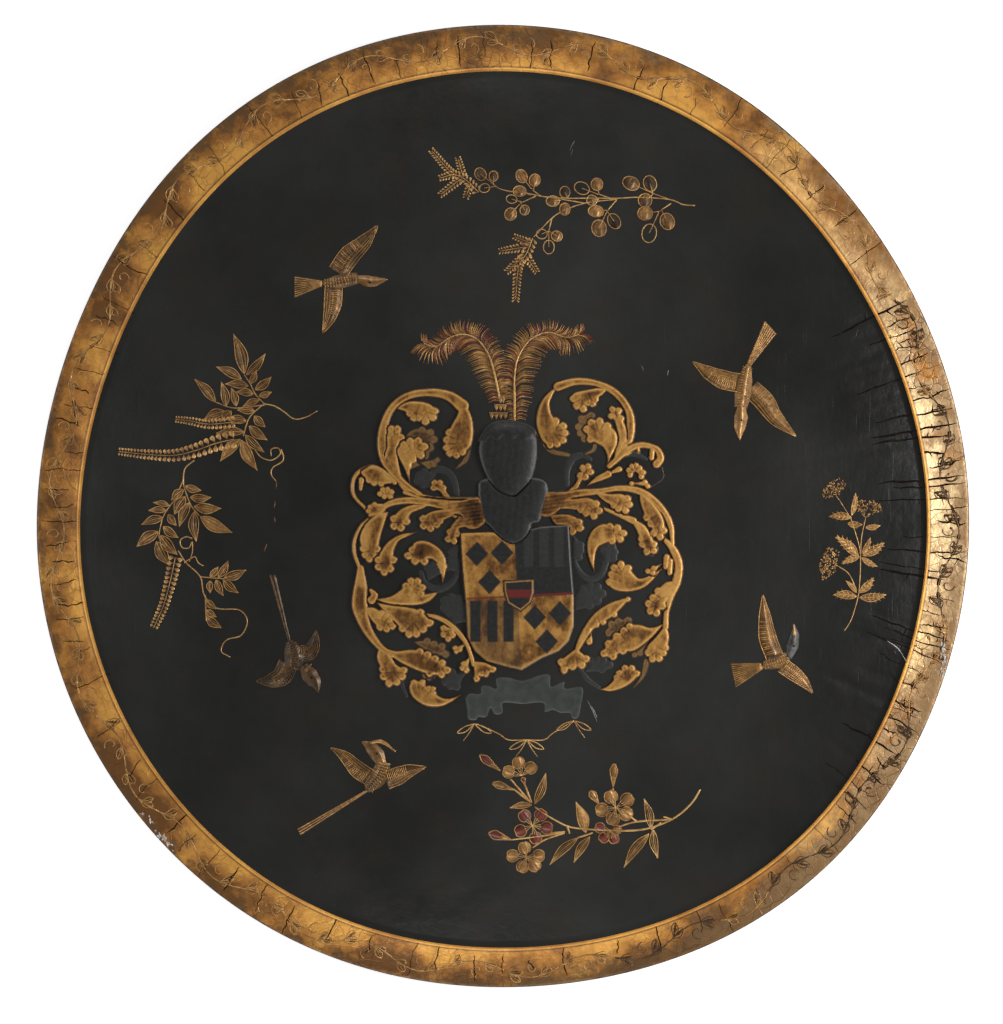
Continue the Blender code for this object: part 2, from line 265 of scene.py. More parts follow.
@dataclass
class Face:
    """Shape of the shield's face: a dome, warped out of round, with a band at its edge.

    Attributes:
        rise: Height of the crown over the inner edge of the band.
        band: Mean width of the gilt band, which is widest at one angle, in degrees from +X.
        rim_thickness: Height of the face over the ground at the rim.
        warp: Waves round the rim: number, share of the mean radius, angle of a crest.
        sag: Height of the hide's slow dents.
    """

    mean_radius: float = 0.300
    rise: float = 0.060
    wall: float = 0.005
    band: float = 0.0275
    band_extra: float = 0.0022
    band_widest_at: float = 100.0
    rim_slope: float = 0.20
    rim_thickness: float = 0.006
    warp: tuple[tuple[int, float, float], ...] = ((1, 0.0105, -94.9), (2, 0.0183, -83.9),
        (3, 0.0093, -28.4), (4, 0.0021, 37.1), (6, 0.0023, 6.9))
    creases: list[Crease] = field(default_factory=crack_plan)
    sag: float = 0.00028
    centre: Array = field(init=False)

    def __post_init__(self) -> None:
        """Centre the extents of the rim on the origin."""
        angles = np.linspace(0, 2 * math.pi, 720, endpoint=False)
        xs = self.rim(angles) * np.cos(angles)
        ys = self.rim(angles) * np.sin(angles)
        self.centre = -np.array([xs.min() + xs.max(), ys.min() + ys.max()]) / 2

    @property
    def field_radius(self) -> float:
        """Mean radius of the black field inside the band."""
        return self.mean_radius - self.band

    @property
    def edge_slope(self) -> float:
        """Slope of the face where the field meets the band."""
        return 2 * self.rise / self.field_radius

    def rim(self, angle: Array) -> Array:
        """Radius of the rim at an angle about the disc's centre.

        Args:
            angle: Angles about the disc's centre, in radians.

        Returns:
            The radii.
        """
        share = 1.0
        for waves, depth, crest in self.warp:
            share = share + depth * np.cos(waves * (angle - math.radians(crest)))
        return self.mean_radius * share

    def band_at(self, angle: Array) -> Array:
        """Width of the band at an angle."""
        return self.band + self.band_extra * np.cos(angle - math.radians(self.band_widest_at))

    def polar(self, x: Array, y: Array) -> tuple[Array, Array]:
        """Angle and distance of places in plan about the disc's centre."""
        dx, dy = x - self.centre[0], y - self.centre[1]
        return np.arctan2(dy, dx), np.hypot(dx, dy)

    def across(self, x: Array, y: Array) -> Array:
        """How far places lie past the band's inner edge, in widths of the band.

        Args:
            x: Places in plan, along X.
            y: Places in plan, along Y.

        Returns:
            Shares of the way, below 0 in the field.
        """
        angle, radius = self.polar(x, y)
        band = self.band_at(angle)
        return (radius - self.rim(angle) + band) / band

    def on_band(self, angle: Array, across: Array) -> Array:
        """Places in plan at an angle and a share of the way across the band.

        Args:
            angle: Angles about the disc's centre, in radians.
            across: Shares of the way across the band.

        Returns:
            The places, one to a row.
        """
        radius = self.rim(angle) - self.band_at(angle) * (1 - across)
        return np.stack([self.centre[0] + radius * np.cos(angle),
            self.centre[1] + radius * np.sin(angle)], axis=-1)

    def moulded(self, share: Array, across: Array) -> Array:
        """Height of the face as it left the mould.

        Args:
            share: Share of the way out over the field, 1 at the band.
            across: Share of the way across the band, 0 in the field.

        Returns:
            Heights over the ground.
        """
        slope = self.edge_slope
        drop = self.band * (slope + self.rim_slope) / 2
        fall = slope * across - (slope - self.rim_slope) * across ** 2 / 2
        crown = self.rise * (1 - np.minimum(share, 1) ** 2)
        return self.rim_thickness + drop + crown - self.band * fall

    def ageing(self, x: Array, y: Array) -> Array:
        """How far the hide has sunk or swelled since: slow dents, and the creases.

        Args:
            x: Places in plan, along X.
            y: Places in plan, along Y.

        Returns:
            Changes of height.
        """
        angle, radius = self.polar(x, y)
        dents = (np.sin(31 * x + 13 * y) + np.sin(17 * x - 37 * y + 1) + 0.6
            * np.sin(71 * x + 23 * y + 2) + 0.5 * np.sin(11 * x + 83 * y + 4))
        height = self.sag * dents * np.clip(radius / 0.15, 0, 1) ** 2 / 2
        for crease in self.creases:
            inward = np.clip((0.29 - radius) / (0.29 - crease.inner), 0, 1.2)
            turn = angle - crease.angle - crease.lean * inward
            aside = radius * np.sin(turn)
            near = np.exp(-(aside / 0.0021) ** 2) * (np.cos(turn) > 0)
            fade = np.clip((radius - crease.inner) / 0.012, 0, 1)
            height = height - crease.depth * near * fade
        return height

    def height(self, x: Array, y: Array) -> Array:
        """Height of the face over places in plan, as it is now.

        Args:
            x: Places in plan, along X.
            y: Places in plan, along Y.

        Returns:
            Heights over the ground.
        """
        angle, radius = self.polar(x, y)
        across = np.clip(self.across(x, y), 0, 1)
        share = radius / (self.rim(angle) - self.band_at(angle))
        return self.moulded(share, across) + self.ageing(x, y)


def pairs(numbers: Path) -> Array:
    """Spots, one to a row, from a run of x and y or from rows of them."""
    return np.asarray(numbers, float).reshape(-1, 2)


def read_along(values: Widths | float, count: int) -> Array:
    """Values read evenly along a line with a number of points."""
    values = np.atleast_1d(values)
    return np.interp(np.linspace(0, 1, count), np.linspace(0, 1, len(values)), values)


def sideways(direction: Array) -> Array:
    """Directions turned by a quarter, one or one to a row."""
    return np.stack([-direction[..., 1], direction[..., 0]], axis=-1)


def smooth_path(points: Path, spacing: float) -> Array:
    """Read a smooth curve that passes through points, at about an even spacing.

    Args:
        points: The points that it passes through, one to a row.
        spacing: Distance between the points that are read.

    Returns:
        The points along the curve.
    """
    points = pairs(points)
    if len(points) == 2:
        count = max(2, int(np.ceil(np.linalg.norm(points[1] - points[0]) / spacing)) + 1)
        return points[0] + (points[1] - points[0]) * np.linspace(0, 1, count)[:, None]
    padded = np.vstack([2 * points[0] - points[1], points, 2 * points[-1] - points[-2]])
    runs = []
    for a, b, c, d in zip(padded, padded[1:], padded[2:], padded[3:]):
        count = max(2, int(np.ceil(np.linalg.norm(c - b) / spacing)))
        t = np.linspace(0, 1, count, endpoint=False)[:, None]
        runs.append(0.5 * (2 * b + (c - a) * t + (2 * a - 5 * b + 4 * c - d) * t ** 2
            + (3 * b - a - 3 * c + d) * t ** 3))
    return np.vstack(runs + [points[-1:]])


def link(name: str, data: bpy.types.ID) -> Shape:
    """Put a mesh, curve, light or camera in the scene as an object at the origin.

    Args:
        name: Name of the piece.
        data: What it shows.

    Returns:
        The object.
    """
    thing = bpy.data.objects.new(name, data)
    bpy.context.scene.collection.objects.link(thing)
    return thing


def link_smooth(name: str, mesh: bpy.types.Mesh) -> Shape:
    """Put a mesh in the scene, smoothly shaded.

    Args:
        name: Name of the piece.
        mesh: Its mesh.

    Returns:
        The object.
    """
    mesh.name = name
    mesh.shade_smooth()
    return link(name, mesh)


def from_bmesh(name: str, shape: bmesh.types.BMesh) -> Shape:
    """Turn a bmesh into a smoothly shaded object at the origin.

    Args:
        name: Name of the piece.
        shape: The bmesh, which is freed.

    Returns:
        The object.
    """
    mesh = bpy.data.meshes.new(name)
    shape.to_mesh(mesh)
    shape.free()
    return link_smooth(name, mesh)


def rows_of(parts: bpy.types.bpy_prop_collection, name: str) -> Array:
    """A vector of each vertex or face of a mesh, one to a row.

    Args:
        parts: The vertices or faces.
        name: Name of the vector.

    Returns:
        The vectors.
    """
    values = np.empty(len(parts) * 3)
    parts.foreach_get(name, values)
    return values.reshape(-1, 3)


def move_vertices(mesh: bpy.types.Mesh, places: Array) -> None:
    """Move the vertices of a mesh to new places."""
    mesh.vertices.foreach_set("co", np.ascontiguousarray(places, np.float32).ravel())
    mesh.update()


def store(mesh: bpy.types.Mesh, name: str, values: Array) -> None:
    """Store one number for each vertex of a mesh, for its material to read."""
    layer = mesh.attributes.new(name, 'FLOAT', 'POINT')
    layer.data.foreach_set("value", np.ascontiguousarray(values, np.float32))


@dataclass
class Stroke:
    """One stroke of a lacquer brush.

    Attributes:
        shades: How bright the lacquer is at each place, from 0 to 1.
        layer: How many strokes it lies on.
        height: How far its middle stands up.
    """

    places: Array
    widths: Array
    shades: Array
    paint: Paint
    layer: int
    height: float
    closed: bool


@dataclass
class Drawing:
    """Brush strokes that become one piece of thin lacquer on the face.

    Attributes:
        layer_step: How much higher each layer of strokes lies.
        foot: How deep the edges of a stroke sink into the face.
        finest: Width of the finest stroke.
    """

    name: str
    face: Face
    photo: Photo
    layer_step: float = 0.00006
    foot: float = 0.00003
    finest: float = 0.00008
    strokes: list[Stroke] = field(default_factory=list)

    def stroke(self, spots: Path, widths: Widths = (1.0,), paint: Paint = Paint.GOLD,
            shade: tuple[float, ...] | float = 0.8, layer: int = 0, height: float = 0.00012,
            spacing: float = 2.5, closed: bool = False) -> None:
        """Draw a stroke through pixels of the photo.

        Args:
            spots: The pixels that its middle line passes through.
            widths: Its width in pixels, read evenly along it.
            paint: The lacquer.
            shade: Brightness of the lacquer, read evenly along it.
            layer: How many strokes it lies on.
            height: How far its middle stands up.
            spacing: Pixels between the points of the finished stroke.
            closed: Whether it joins up with its own start.
        """
        line = smooth_path(spots, spacing)
        if closed:
            line = line[:-1]
        self.add_line(self.photo.place(line), widths, paint, shade, layer, height, closed)

    def add_line(self, places: Array, widths: Widths, paint: Paint,
            shade: tuple[float, ...] | float, layer: int, height: float,
            closed: bool = False) -> None:
        """Draw a stroke through places on the shield, its widths still in pixels.

        Args:
            places: Places of its middle line, one to a row.
            widths: Its width in pixels, read evenly along it.
            paint: The lacquer.
            shade: Brightness of the lacquer, read evenly along it.
            layer: How many strokes it lies on.
            height: How far its middle stands up.
            closed: Whether it joins up with its own start.
        """
        wide = np.maximum(read_along(widths, len(places)) * self.photo.pixel, self.finest)
        bright = read_along(shade, len(places))
        self.strokes.append(Stroke(places, wide, bright, paint, layer, height, closed))

    def build(self, finishes: dict[Paint, Material], slot: Slot = Slot.GOLD) -> Shape:
        """Make the strokes into one closed mesh that lies on the face.

        Args:
            finishes: The material of each lacquer.
            slot: The record's material slot of the piece.

        Returns:
            The piece.
        """
        curve = bpy.data.curves.new(self.name, 'CURVE')
        curve.dimensions = '3D'
        curve.twist_mode = 'Z_UP'
        curve.bevel_depth = 1.0
        curve.bevel_resolution = 0
        for paint in Paint:
            curve.materials.append(finishes[paint])
        for stroke in self.strokes:
            spline = curve.splines.new('POLY')
            spline.points.add(len(stroke.places) - 1)
            rows = np.zeros((len(stroke.places), 4))
            rows[:, :2] = stroke.places
            rows[:, 3] = 1
            spline.points.foreach_set("co", rows.ravel())
            spline.points.foreach_set("radius", stroke.widths / 2)
            spline.material_index = int(stroke.paint)
            spline.use_cyclic_u = stroke.closed
        guide = link(self.name, curve)
        bpy.context.view_layer.update()
        evaluated = guide.evaluated_get(bpy.context.evaluated_depsgraph_get())
        mesh = bpy.data.meshes.new_from_object(evaluated)
        bpy.data.objects.remove(guide, do_unlink=True)
        self.lay_down(mesh)
        shape = bmesh.new()
        shape.from_mesh(mesh)
        ends = [edge for edge in shape.edges if edge.is_boundary]
        bmesh.ops.holes_fill(shape, edges=ends, sides=4)
        shape.to_mesh(mesh)
        shape.free()
        piece = link_smooth(self.name, mesh)
        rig.ride(piece, BODY)
        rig.slot(piece, slot.value)
        return piece

    def lay_down(self, mesh: bpy.types.Mesh) -> None:
        """Flatten round strokes into low ridges and lay them on the face.

        Args:
            mesh: The round strokes, still flat on the ground.
        """
        places = rows_of(mesh.vertices, "co")
        ring = len(places) // sum(len(stroke.places) for stroke in self.strokes)
        gather = [(stroke.widths / 2, np.full(len(stroke.widths), stroke.height),
            np.full(len(stroke.widths), stroke.layer * self.layer_step), stroke.shades)
            for stroke in self.strokes]
        radius, height, lift, shade = (np.repeat(np.concatenate(part), ring)
            for part in zip(*gather))
        rise = np.minimum(height, radius * 0.5) * places[:, 2] / radius
        rise = np.where(places[:, 2] < 0, rise * 0.3, rise) - self.foot + lift
        places[:, 2] = self.face.height(places[:, 0], places[:, 1]) + rise
        move_vertices(mesh, places)
        store(mesh, "shade", shade)


@dataclass
class Graph:
    """A node tree, with short calls for the nodes that the finishes use."""

    tree: NodeTree

    def add(self, kind: str, *values: Socket | float | tuple | None,
            **settings: object) -> bpy.types.Node:
        """Add a node.

        Args:
            kind: The node's type, without ShaderNode.
            values: What goes into its inputs in order: a socket, a plain value or None.
            settings: The node's own settings.

        Returns:
            The node.
        """
        node = self.tree.nodes.new("ShaderNode" + kind)
        for name, value in settings.items():
            setattr(node, name, value)
        for target, value in zip(node.inputs, values):
            self.feed(target, value)
        return node

    def feed(self, target: Socket, value: Socket | float | tuple | None) -> None:
        """Link or set one input.

        Args:
            target: The input.
            value: A socket, a plain value or None.
        """
        if isinstance(value, bpy.types.NodeSocket):
            self.tree.links.new(value, target)
        elif value is not None:
            target.default_value = value

    def maths(self, operation: str, *values: Socket | float, clamp: bool = False) -> Socket:
        """The result of a maths node."""
        return self.add("Math", *values, operation=operation, use_clamp=clamp).outputs[0]

    def place(self) -> Socket:
        """Object coordinates."""
        return self.add("TexCoord").outputs["Object"]

    def attribute(self, name: str) -> Socket:
        """A number stored on the piece."""
        return self.add("Attribute", attribute_name=name).outputs["Fac"]

    def stretched(self, source: Socket, scale: Triple) -> Socket:
        """Coordinates stretched along the axes."""
        return self.add("Mapping", source, None, None, scale).outputs[0]

    def noise(self, source: Socket, scale: float, detail: float = 4.0,
            roughness: float = 0.6) -> Socket:
        """Noise between 0 and 1."""
        return self.add("TexNoise", source, None, scale, detail, roughness).outputs[0]

    def span(self, value: Socket, low: float, high: float, start: float = 0.0,
            end: float = 1.0) -> Socket:
        """A value moved from one range to another, and held there."""
        return self.add("MapRange", value, low, high, start, end).outputs[0]

    def ramp(self, value: Socket, *stops: tuple[float, Colour]) -> Socket:
        """A colour read from stops along a value.

        Args:
            value: What the colour depends on.
            stops: Each stop's place and colour.

        Returns:
            The colour.
        """
        node = self.add("ValToRGB", value)
        while len(node.color_ramp.elements) < len(stops):
            node.color_ramp.elements.new(0.5)
        for element, (at, colour) in zip(node.color_ramp.elements, stops):
            element.position = at
            element.color = (*colour, 1.0)
        return node.outputs[0]

    def mix(self, share: Socket | float, first: Socket | tuple, second: Socket | tuple) -> Socket:
        """Two colours mixed.

        Args:
            share: Share of the second colour.
            first: A colour.
            second: Another colour.

        Returns:
            The colour.
        """
        node = self.add("Mix", data_type='RGBA')
        self.feed(node.inputs[0], share)
        for target, value in ((node.inputs[6], first), (node.inputs[7], second)):
            self.feed(target, (*value, 1.0) if isinstance(value, tuple) else value)
        return node.outputs[2]

    def group(self, tree: NodeTree, **values: Socket | float) -> bpy.types.Node:
        """Place a shared effect, with its inputs by name.

        Args:
            tree: The effect.
            values: Its inputs, by name.

        Returns:
            The group's node.
        """
        node = self.add("Group", node_tree=tree)
        for name, value in values.items():
            self.feed(node.inputs[name.replace("_", " ").capitalize()], value)
        return node

    def bump(self, height: Socket, distance: float, under: Socket | None = None) -> Socket:
        """A bump of full strength and a real height, over another normal if one is given.

        Args:
            height: Height from 0 to 1.
            distance: How high 1 stands, in metres.
            under: Normal that it lies on.

        Returns:
            The normal.
        """
        node = self.add("Bump", None, distance)
        self.feed(node.inputs["Height"], height)
        self.feed(node.inputs["Normal"], under)
        return node.outputs[0]


def shared_effect(name: str, inputs: dict[str, float], outputs: tuple[str, ...]) -> tuple[Graph,
        bpy.types.Node, bpy.types.Node]:
    """Start a node group with named inputs and outputs.

    Args:
        name: Name of the effect.
        inputs: Its number inputs and their usual values, besides Place.
        outputs: Its mask outputs.

    Returns:
        The group's graph, its input node and its output node.
    """
    tree = bpy.data.node_groups.new(name, 'ShaderNodeTree')
    tree.interface.new_socket("Place", in_out='INPUT', socket_type='NodeSocketVector')
    for key, value in inputs.items():
        socket = tree.interface.new_socket(key, in_out='INPUT', socket_type='NodeSocketFloat')
        socket.default_value = value
    for key in outputs:
        tree.interface.new_socket(key, in_out='OUTPUT', socket_type='NodeSocketFloat')
    return Graph(tree), tree.nodes.new("NodeGroupInput"), tree.nodes.new("NodeGroupOutput")


@dataclass
class Effects:
    """Effects that several finishes share, each a node group that is built once."""

    mottle: NodeTree = field(init=False)
    crackle: NodeTree = field(init=False)

    def __post_init__(self) -> None:
        """Build the groups."""
        self.mottle = self.build_mottle()
        self.crackle = self.build_crackle()

    @staticmethod
    def build_mottle() -> NodeTree:
        """Soft patches of wear or dirt: a mask that is 1 where they lie.

        Returns:
            The group.
        """
        inputs = {"Scale": 40.0, "Amount": 0.5, "Softness": 0.12}
        graph, given, out = shared_effect("mottle", inputs, ("Mask",))
        place, scale, amount, softness = given.outputs[:4]
        coarse = graph.noise(place, 1.0, 5.0, 0.62)
        graph.feed(coarse.node.inputs["Scale"], scale)
        level = graph.maths('SUBTRACT', 0.75, graph.maths('MULTIPLY', amount, 0.5))
        mask = graph.add("MapRange", coarse, graph.maths('SUBTRACT', level, softness),
            graph.maths('ADD', level, softness)).outputs[0]
        graph.feed(out.inputs["Mask"], mask)
        return graph.tree

    @staticmethod
    def build_crackle() -> NodeTree:
        """A net of fine cracks: a mask that is 1 along them.

        Returns:
            The group.
        """
        graph, given, out = shared_effect("crackle", {"Scale": 200.0, "Width": 0.05}, ("Mask",))
        place, scale, width = given.outputs[:3]
        shifted = graph.add("TexNoise", place, None, 55.0, 2.0)
        bent = graph.add("VectorMath", shifted.outputs["Color"], (0.006, 0.006, 0.006),
            operation='MULTIPLY').outputs[0]
        moved = graph.add("VectorMath", place, bent, operation='ADD').outputs[0]
        cells = graph.add("TexVoronoi", moved, None, feature='DISTANCE_TO_EDGE')
        graph.feed(cells.inputs["Scale"], scale)
        mask = graph.add("MapRange", cells.outputs[0], 0.0, width, 1.0, 0.0).outputs[0]
        graph.feed(out.inputs["Mask"], mask)
        return graph.tree


@dataclass(frozen=True)
class Finish:
    """What every finish has: its name and the plain values of its shader."""

    name: str
    metallic: float = 0.0
    roughness: float = 0.4
    specular: float = 0.5

    def start(self) -> tuple[Material, Graph, bpy.types.Node]:
        """Make the material and set what is the same all over it.

        Returns:
            The material, its graph and its shader.
        """
        material = bpy.data.materials.new(self.name)
        material.use_nodes = True
        graph = Graph(material.node_tree)
        shader = material.node_tree.nodes["Principled BSDF"]
        shader.inputs["Metallic"].default_value = self.metallic
        shader.inputs["Roughness"].default_value = self.roughness
        shader.inputs["Specular IOR Level"].default_value = self.specular
        return material, graph, shader

    @staticmethod
    def dress(graph: Graph, shader: bpy.types.Node, **values: Socket) -> None:
        """Link what varies over the surface to the shader."""
        for name, value in values.items():
            graph.feed(shader.inputs[name.replace("_", " ").title()], value)


@dataclass(frozen=True)
class BlackLacquer(Finish):
    """Black lacquer over hide: cloudy and finely wrinkled, with painted shade that darkens it towards the right."""

    name: str = "black_lacquer"
    roughness: float = 0.25
    specular: float = 0.07
    deep: Colour = (0.0208, 0.0213, 0.0199)
    cloudy: Colour = (0.0345, 0.0350, 0.0327)
    brown: Colour = (0.036, 0.026, 0.018)
    right_painted_shade: Colour = (0.004, 0.004, 0.0036)

    def build(self, effects: Effects) -> Material:
        """Make the material.

        Args:
            effects: Effects that the finishes share.

        Returns:
            The material.
        """
        material, graph, shader = self.start()
        place = graph.place()
        clouds = graph.noise(place, 9.0, 6.0, 0.6)
        colour = graph.mix(graph.span(clouds, 0.35, 0.68), self.deep, self.cloudy)
        rubbed = graph.group(effects.mottle, place=place, scale=26.0, amount=0.24).outputs[0]
        colour = graph.mix(graph.maths('MULTIPLY', rubbed, 0.5), colour, self.brown)
        # Painted shade: towards the right the field's colour is darkened.
        aside = graph.add("SeparateXYZ", place).outputs[0]
        colour = graph.mix(graph.span(aside, 0.06, 0.25, 0.0, 0.62), colour, self.right_painted_shade)
        wrinkles = graph.noise(graph.stretched(place, (330.0, 46.0, 60.0)), 1.0, 3.0)
        grain = graph.noise(place, 900.0, 2.0)
        scratches = graph.noise(graph.stretched(place, (900.0, 24.0, 60.0)), 1.0, 1.0)
        scratch = graph.span(scratches, 0.70, 0.76)
        height = graph.maths('ADD', graph.maths('MULTIPLY', wrinkles, 0.7),
            graph.maths('MULTIPLY', grain, 0.12))
        height = graph.maths('SUBTRACT', height, graph.maths('MULTIPLY', scratch, 0.25))
        pull = graph.noise(place, 60.0, 3.0)
        normal = graph.bump(height, 0.00011, graph.bump(pull, 0.00045))
        rough = graph.span(clouds, 0.3, 0.7, self.roughness - 0.07, self.roughness + 0.09)
        rough = graph.maths('ADD', rough, graph.maths('MULTIPLY', rubbed, 0.12))
        self.dress(graph, shader, normal=normal, base_color=colour, roughness=rough)
        return material


@dataclass(frozen=True)
class GiltBand(Finish):
    """The gilt border: brown gold at the left, paler at the right from wear and painted light, olive outside."""

    name: str = "gilt_band"
    metallic: float = 0.25
    roughness: float = 0.42
    specular: float = 0.25
    worn_lit_cream: Colour = (0.85, 0.62, 0.32)
    tan: Colour = (0.46, 0.30, 0.15)
    bright: Colour = (0.82, 0.41, 0.085)
    warm: Colour = (0.50, 0.215, 0.046)
    brown: Colour = (0.185, 0.080, 0.023)
    olive: Colour = (0.120, 0.066, 0.027)
    dark: Colour = (0.022, 0.012, 0.007)
    bead_end: float = 0.085

    def build(self, effects: Effects) -> Material:
        """Make the material.

        Args:
            effects: Effects that the finishes share.

        Returns:
            The material.
        """
        material, graph, shader = self.start()
        place = graph.place()
        aside = graph.add("SeparateXYZ", place).outputs
        across = graph.attribute("across")
        patches = graph.noise(place, 30.0, 6.0, 0.62)
        level = graph.maths('ADD', patches, graph.span(across, 0.1, 0.6, 0.09, -0.05))
        colour = graph.ramp(level, (0.38, self.brown), (0.49, self.warm), (0.62, self.bright))
        # Towards the right the band takes a paler palette up to cream: partly gilding worn pale, partly painted light
        # from the right.
        pale = graph.ramp(level, (0.36, self.warm), (0.46, self.tan), (0.58, self.worn_lit_cream))
        away = graph.add("VectorMath", place, (0.29, 0.02, 0.01), operation='DISTANCE').outputs[1]
        wander = graph.span(graph.noise(place, 9.0), 0.3, 0.7, -0.08, 0.08)
        drift = graph.maths('ADD', away, wander)
        colour = graph.mix(graph.span(drift, 0.08, 0.27, 1.0, 0.0), colour, pale)
        streaks = graph.noise(graph.stretched(place, (90.0, 90.0, 260.0)), 1.0, 6.0, 0.7)
        worn = graph.maths('ADD', graph.span(across, 0.35, 1.05, -0.20, 0.20), streaks)
        worn = graph.maths('ADD', worn, graph.span(aside[1], 0.05, 0.30, 0.0, 0.08))
        worn = graph.maths('ADD', worn, graph.span(aside[0], 0.10, 0.28, 0.0, 0.07))
        upper = graph.span(graph.maths('ADD', aside[0], aside[1]), 0.30, 0.41, 0.0, -0.13)
        lower = graph.span(graph.maths('SUBTRACT', aside[0], aside[1]), 0.27, 0.39, 0.0, 0.24)
        worn = graph.maths('ADD', worn, graph.maths('ADD', upper, lower))
        outer = graph.mix(graph.span(drift, 0.14, 0.42, 0.8, 0.0), self.olive, self.tan)
        colour = graph.mix(graph.span(worn, 0.52, 0.72, 0.0, 0.9), colour, outer)
        rim = graph.maths('ADD', graph.span(across, 0.93, 1.0), graph.noise(place, 170.0))
        colour = graph.mix(graph.span(rim, 1.05, 1.35), colour, self.dark)
        fine = graph.group(effects.crackle, place=place, scale=150.0, width=0.07).outputs[0]
        spread = graph.group(effects.mottle, place=place, scale=22.0, amount=0.46).outputs[0]
        crackle = graph.maths('MULTIPLY', fine, spread)
        net = graph.maths('MULTIPLY', crackle, graph.span(drift, 0.10, 0.34, 0.85, 0.45))
        colour = graph.mix(net, colour, self.dark)
        stains = graph.group(effects.mottle, place=place, scale=64.0, amount=0.44).outputs[0]
        stained = graph.maths('MULTIPLY', stains, graph.span(drift, 0.10, 0.34, 0.62, 0.20))
        colour = graph.mix(stained, colour, self.brown)
        # Painted shade: a dark line just past the bead, standing for a crease beside it.
        line = graph.span(across, self.bead_end, self.bead_end + 0.05, 0.85, 0.0)
        colour = graph.mix(line, colour, self.dark)
        bead = graph.span(across, self.bead_end - 0.01, self.bead_end, 1.0, 0.0)
        gold = graph.mix(graph.span(patches, 0.35, 0.6), self.warm, self.bright)
        colour = graph.mix(bead, colour, gold)
        rough = graph.span(streaks, 0.35, 0.7, self.roughness - 0.1, self.roughness + 0.16)
        lumps = graph.bump(graph.noise(place, 75.0, 4.0), 0.0011)
        height = graph.maths('SUBTRACT', graph.noise(place, 420.0, 3.0), crackle)
        normal = graph.bump(height, 0.00016, lumps)
        self.dress(graph, shader, base_color=colour, roughness=rough, normal=normal)
        return material


@dataclass(frozen=True)
class GoldPaint(Finish):
    """Gold powder on lacquer. Each stroke stores how bright it is."""

    name: str = "gold_paint"
    metallic: float = 0.35
    roughness: float = 0.40
    dull: Colour = (0.028, 0.020, 0.012)
    brown: Colour = (0.115, 0.058, 0.020)
    gold: Colour = (0.400, 0.205, 0.060)
    bright: Colour = (0.70, 0.42, 0.15)

    def build(self, effects: Effects) -> Material:
        """Make the material.

        Args:
            effects: Effects that the finishes share.

        Returns:
            The material.
        """
        material, graph, shader = self.start()
        place = graph.place()
        flecks = graph.noise(place, 320.0, 3.0, 0.7)
        worn = graph.group(effects.mottle, place=place, scale=90.0, amount=0.36).outputs[0]
        grain = graph.span(flecks, 0.3, 0.7, -0.16, 0.14)
        shade = graph.maths('ADD', graph.attribute("shade"), grain)
        shade = graph.maths('SUBTRACT', shade, graph.maths('MULTIPLY', worn, 0.28))
        colour = graph.ramp(shade, (0.0, self.dull), (0.35, self.brown), (0.75, self.gold),
            (1.0, self.bright))
        rough = graph.span(flecks, 0.3, 0.7, self.roughness + 0.1, self.roughness - 0.08)
        normal = graph.bump(flecks, 0.00008)
        self.dress(graph, shader, base_color=colour, roughness=rough, normal=normal)
        return material


@dataclass(frozen=True)
class PlainPaint(Finish):
    """A coloured lacquer, paler or darker with the shade that each stroke stores."""

    low: Colour = (0.05, 0.01, 0.01)
    high: Colour = (0.3, 0.05, 0.03)

    def build(self, effects: Effects) -> Material:
        """Make the material.

        Args:
            effects: Effects that the finishes share.

        Returns:
            The material.
        """
        material, graph, shader = self.start()
        place = graph.place()
        flecks = graph.noise(place, 260.0, 3.0, 0.7)
        worn = graph.group(effects.mottle, place=place, scale=120.0, amount=0.34).outputs[0]
        grain = graph.span(flecks, 0.3, 0.7, -0.2, 0.2)
        shade = graph.maths('ADD', graph.attribute("shade"), grain)
        shade = graph.maths('SUBTRACT', shade, graph.maths('MULTIPLY', worn, 0.3), clamp=True)
        self.dress(graph, shader, base_color=graph.mix(shade, self.low, self.high),
            normal=graph.bump(flecks, 0.00008))
        return material


def paint_box(effects: Effects) -> dict[Paint, Material]:
    """The material of each lacquer.

    Args:
        effects: Effects that the finishes share.

    Returns:
        The materials.
    """
    plain = {
        Paint.RED: PlainPaint("red_paint", low=(0.030, 0.008, 0.005), high=(0.19, 0.030, 0.018)),
        Paint.GREY: PlainPaint("grey_paint", low=(0.018, 0.018, 0.018), high=(0.25, 0.24, 0.22)),
        Paint.GREEN: PlainPaint("grey_green_paint", low=(0.022, 0.024, 0.022),
            high=(0.062, 0.070, 0.062)),
        Paint.INK: PlainPaint("ink_paint", low=(0.006, 0.004, 0.003), high=(0.085, 0.042, 0.016),
            roughness=0.8, specular=0.05),
        Paint.LOSS: PlainPaint("bare_ground", low=(0.30, 0.27, 0.24), high=(0.80, 0.78, 0.76),
            roughness=0.8)}
    finishes = {paint: finish.build(effects) for paint, finish in plain.items()}
    finishes[Paint.GOLD] = GoldPaint().build(effects)
    return finishes


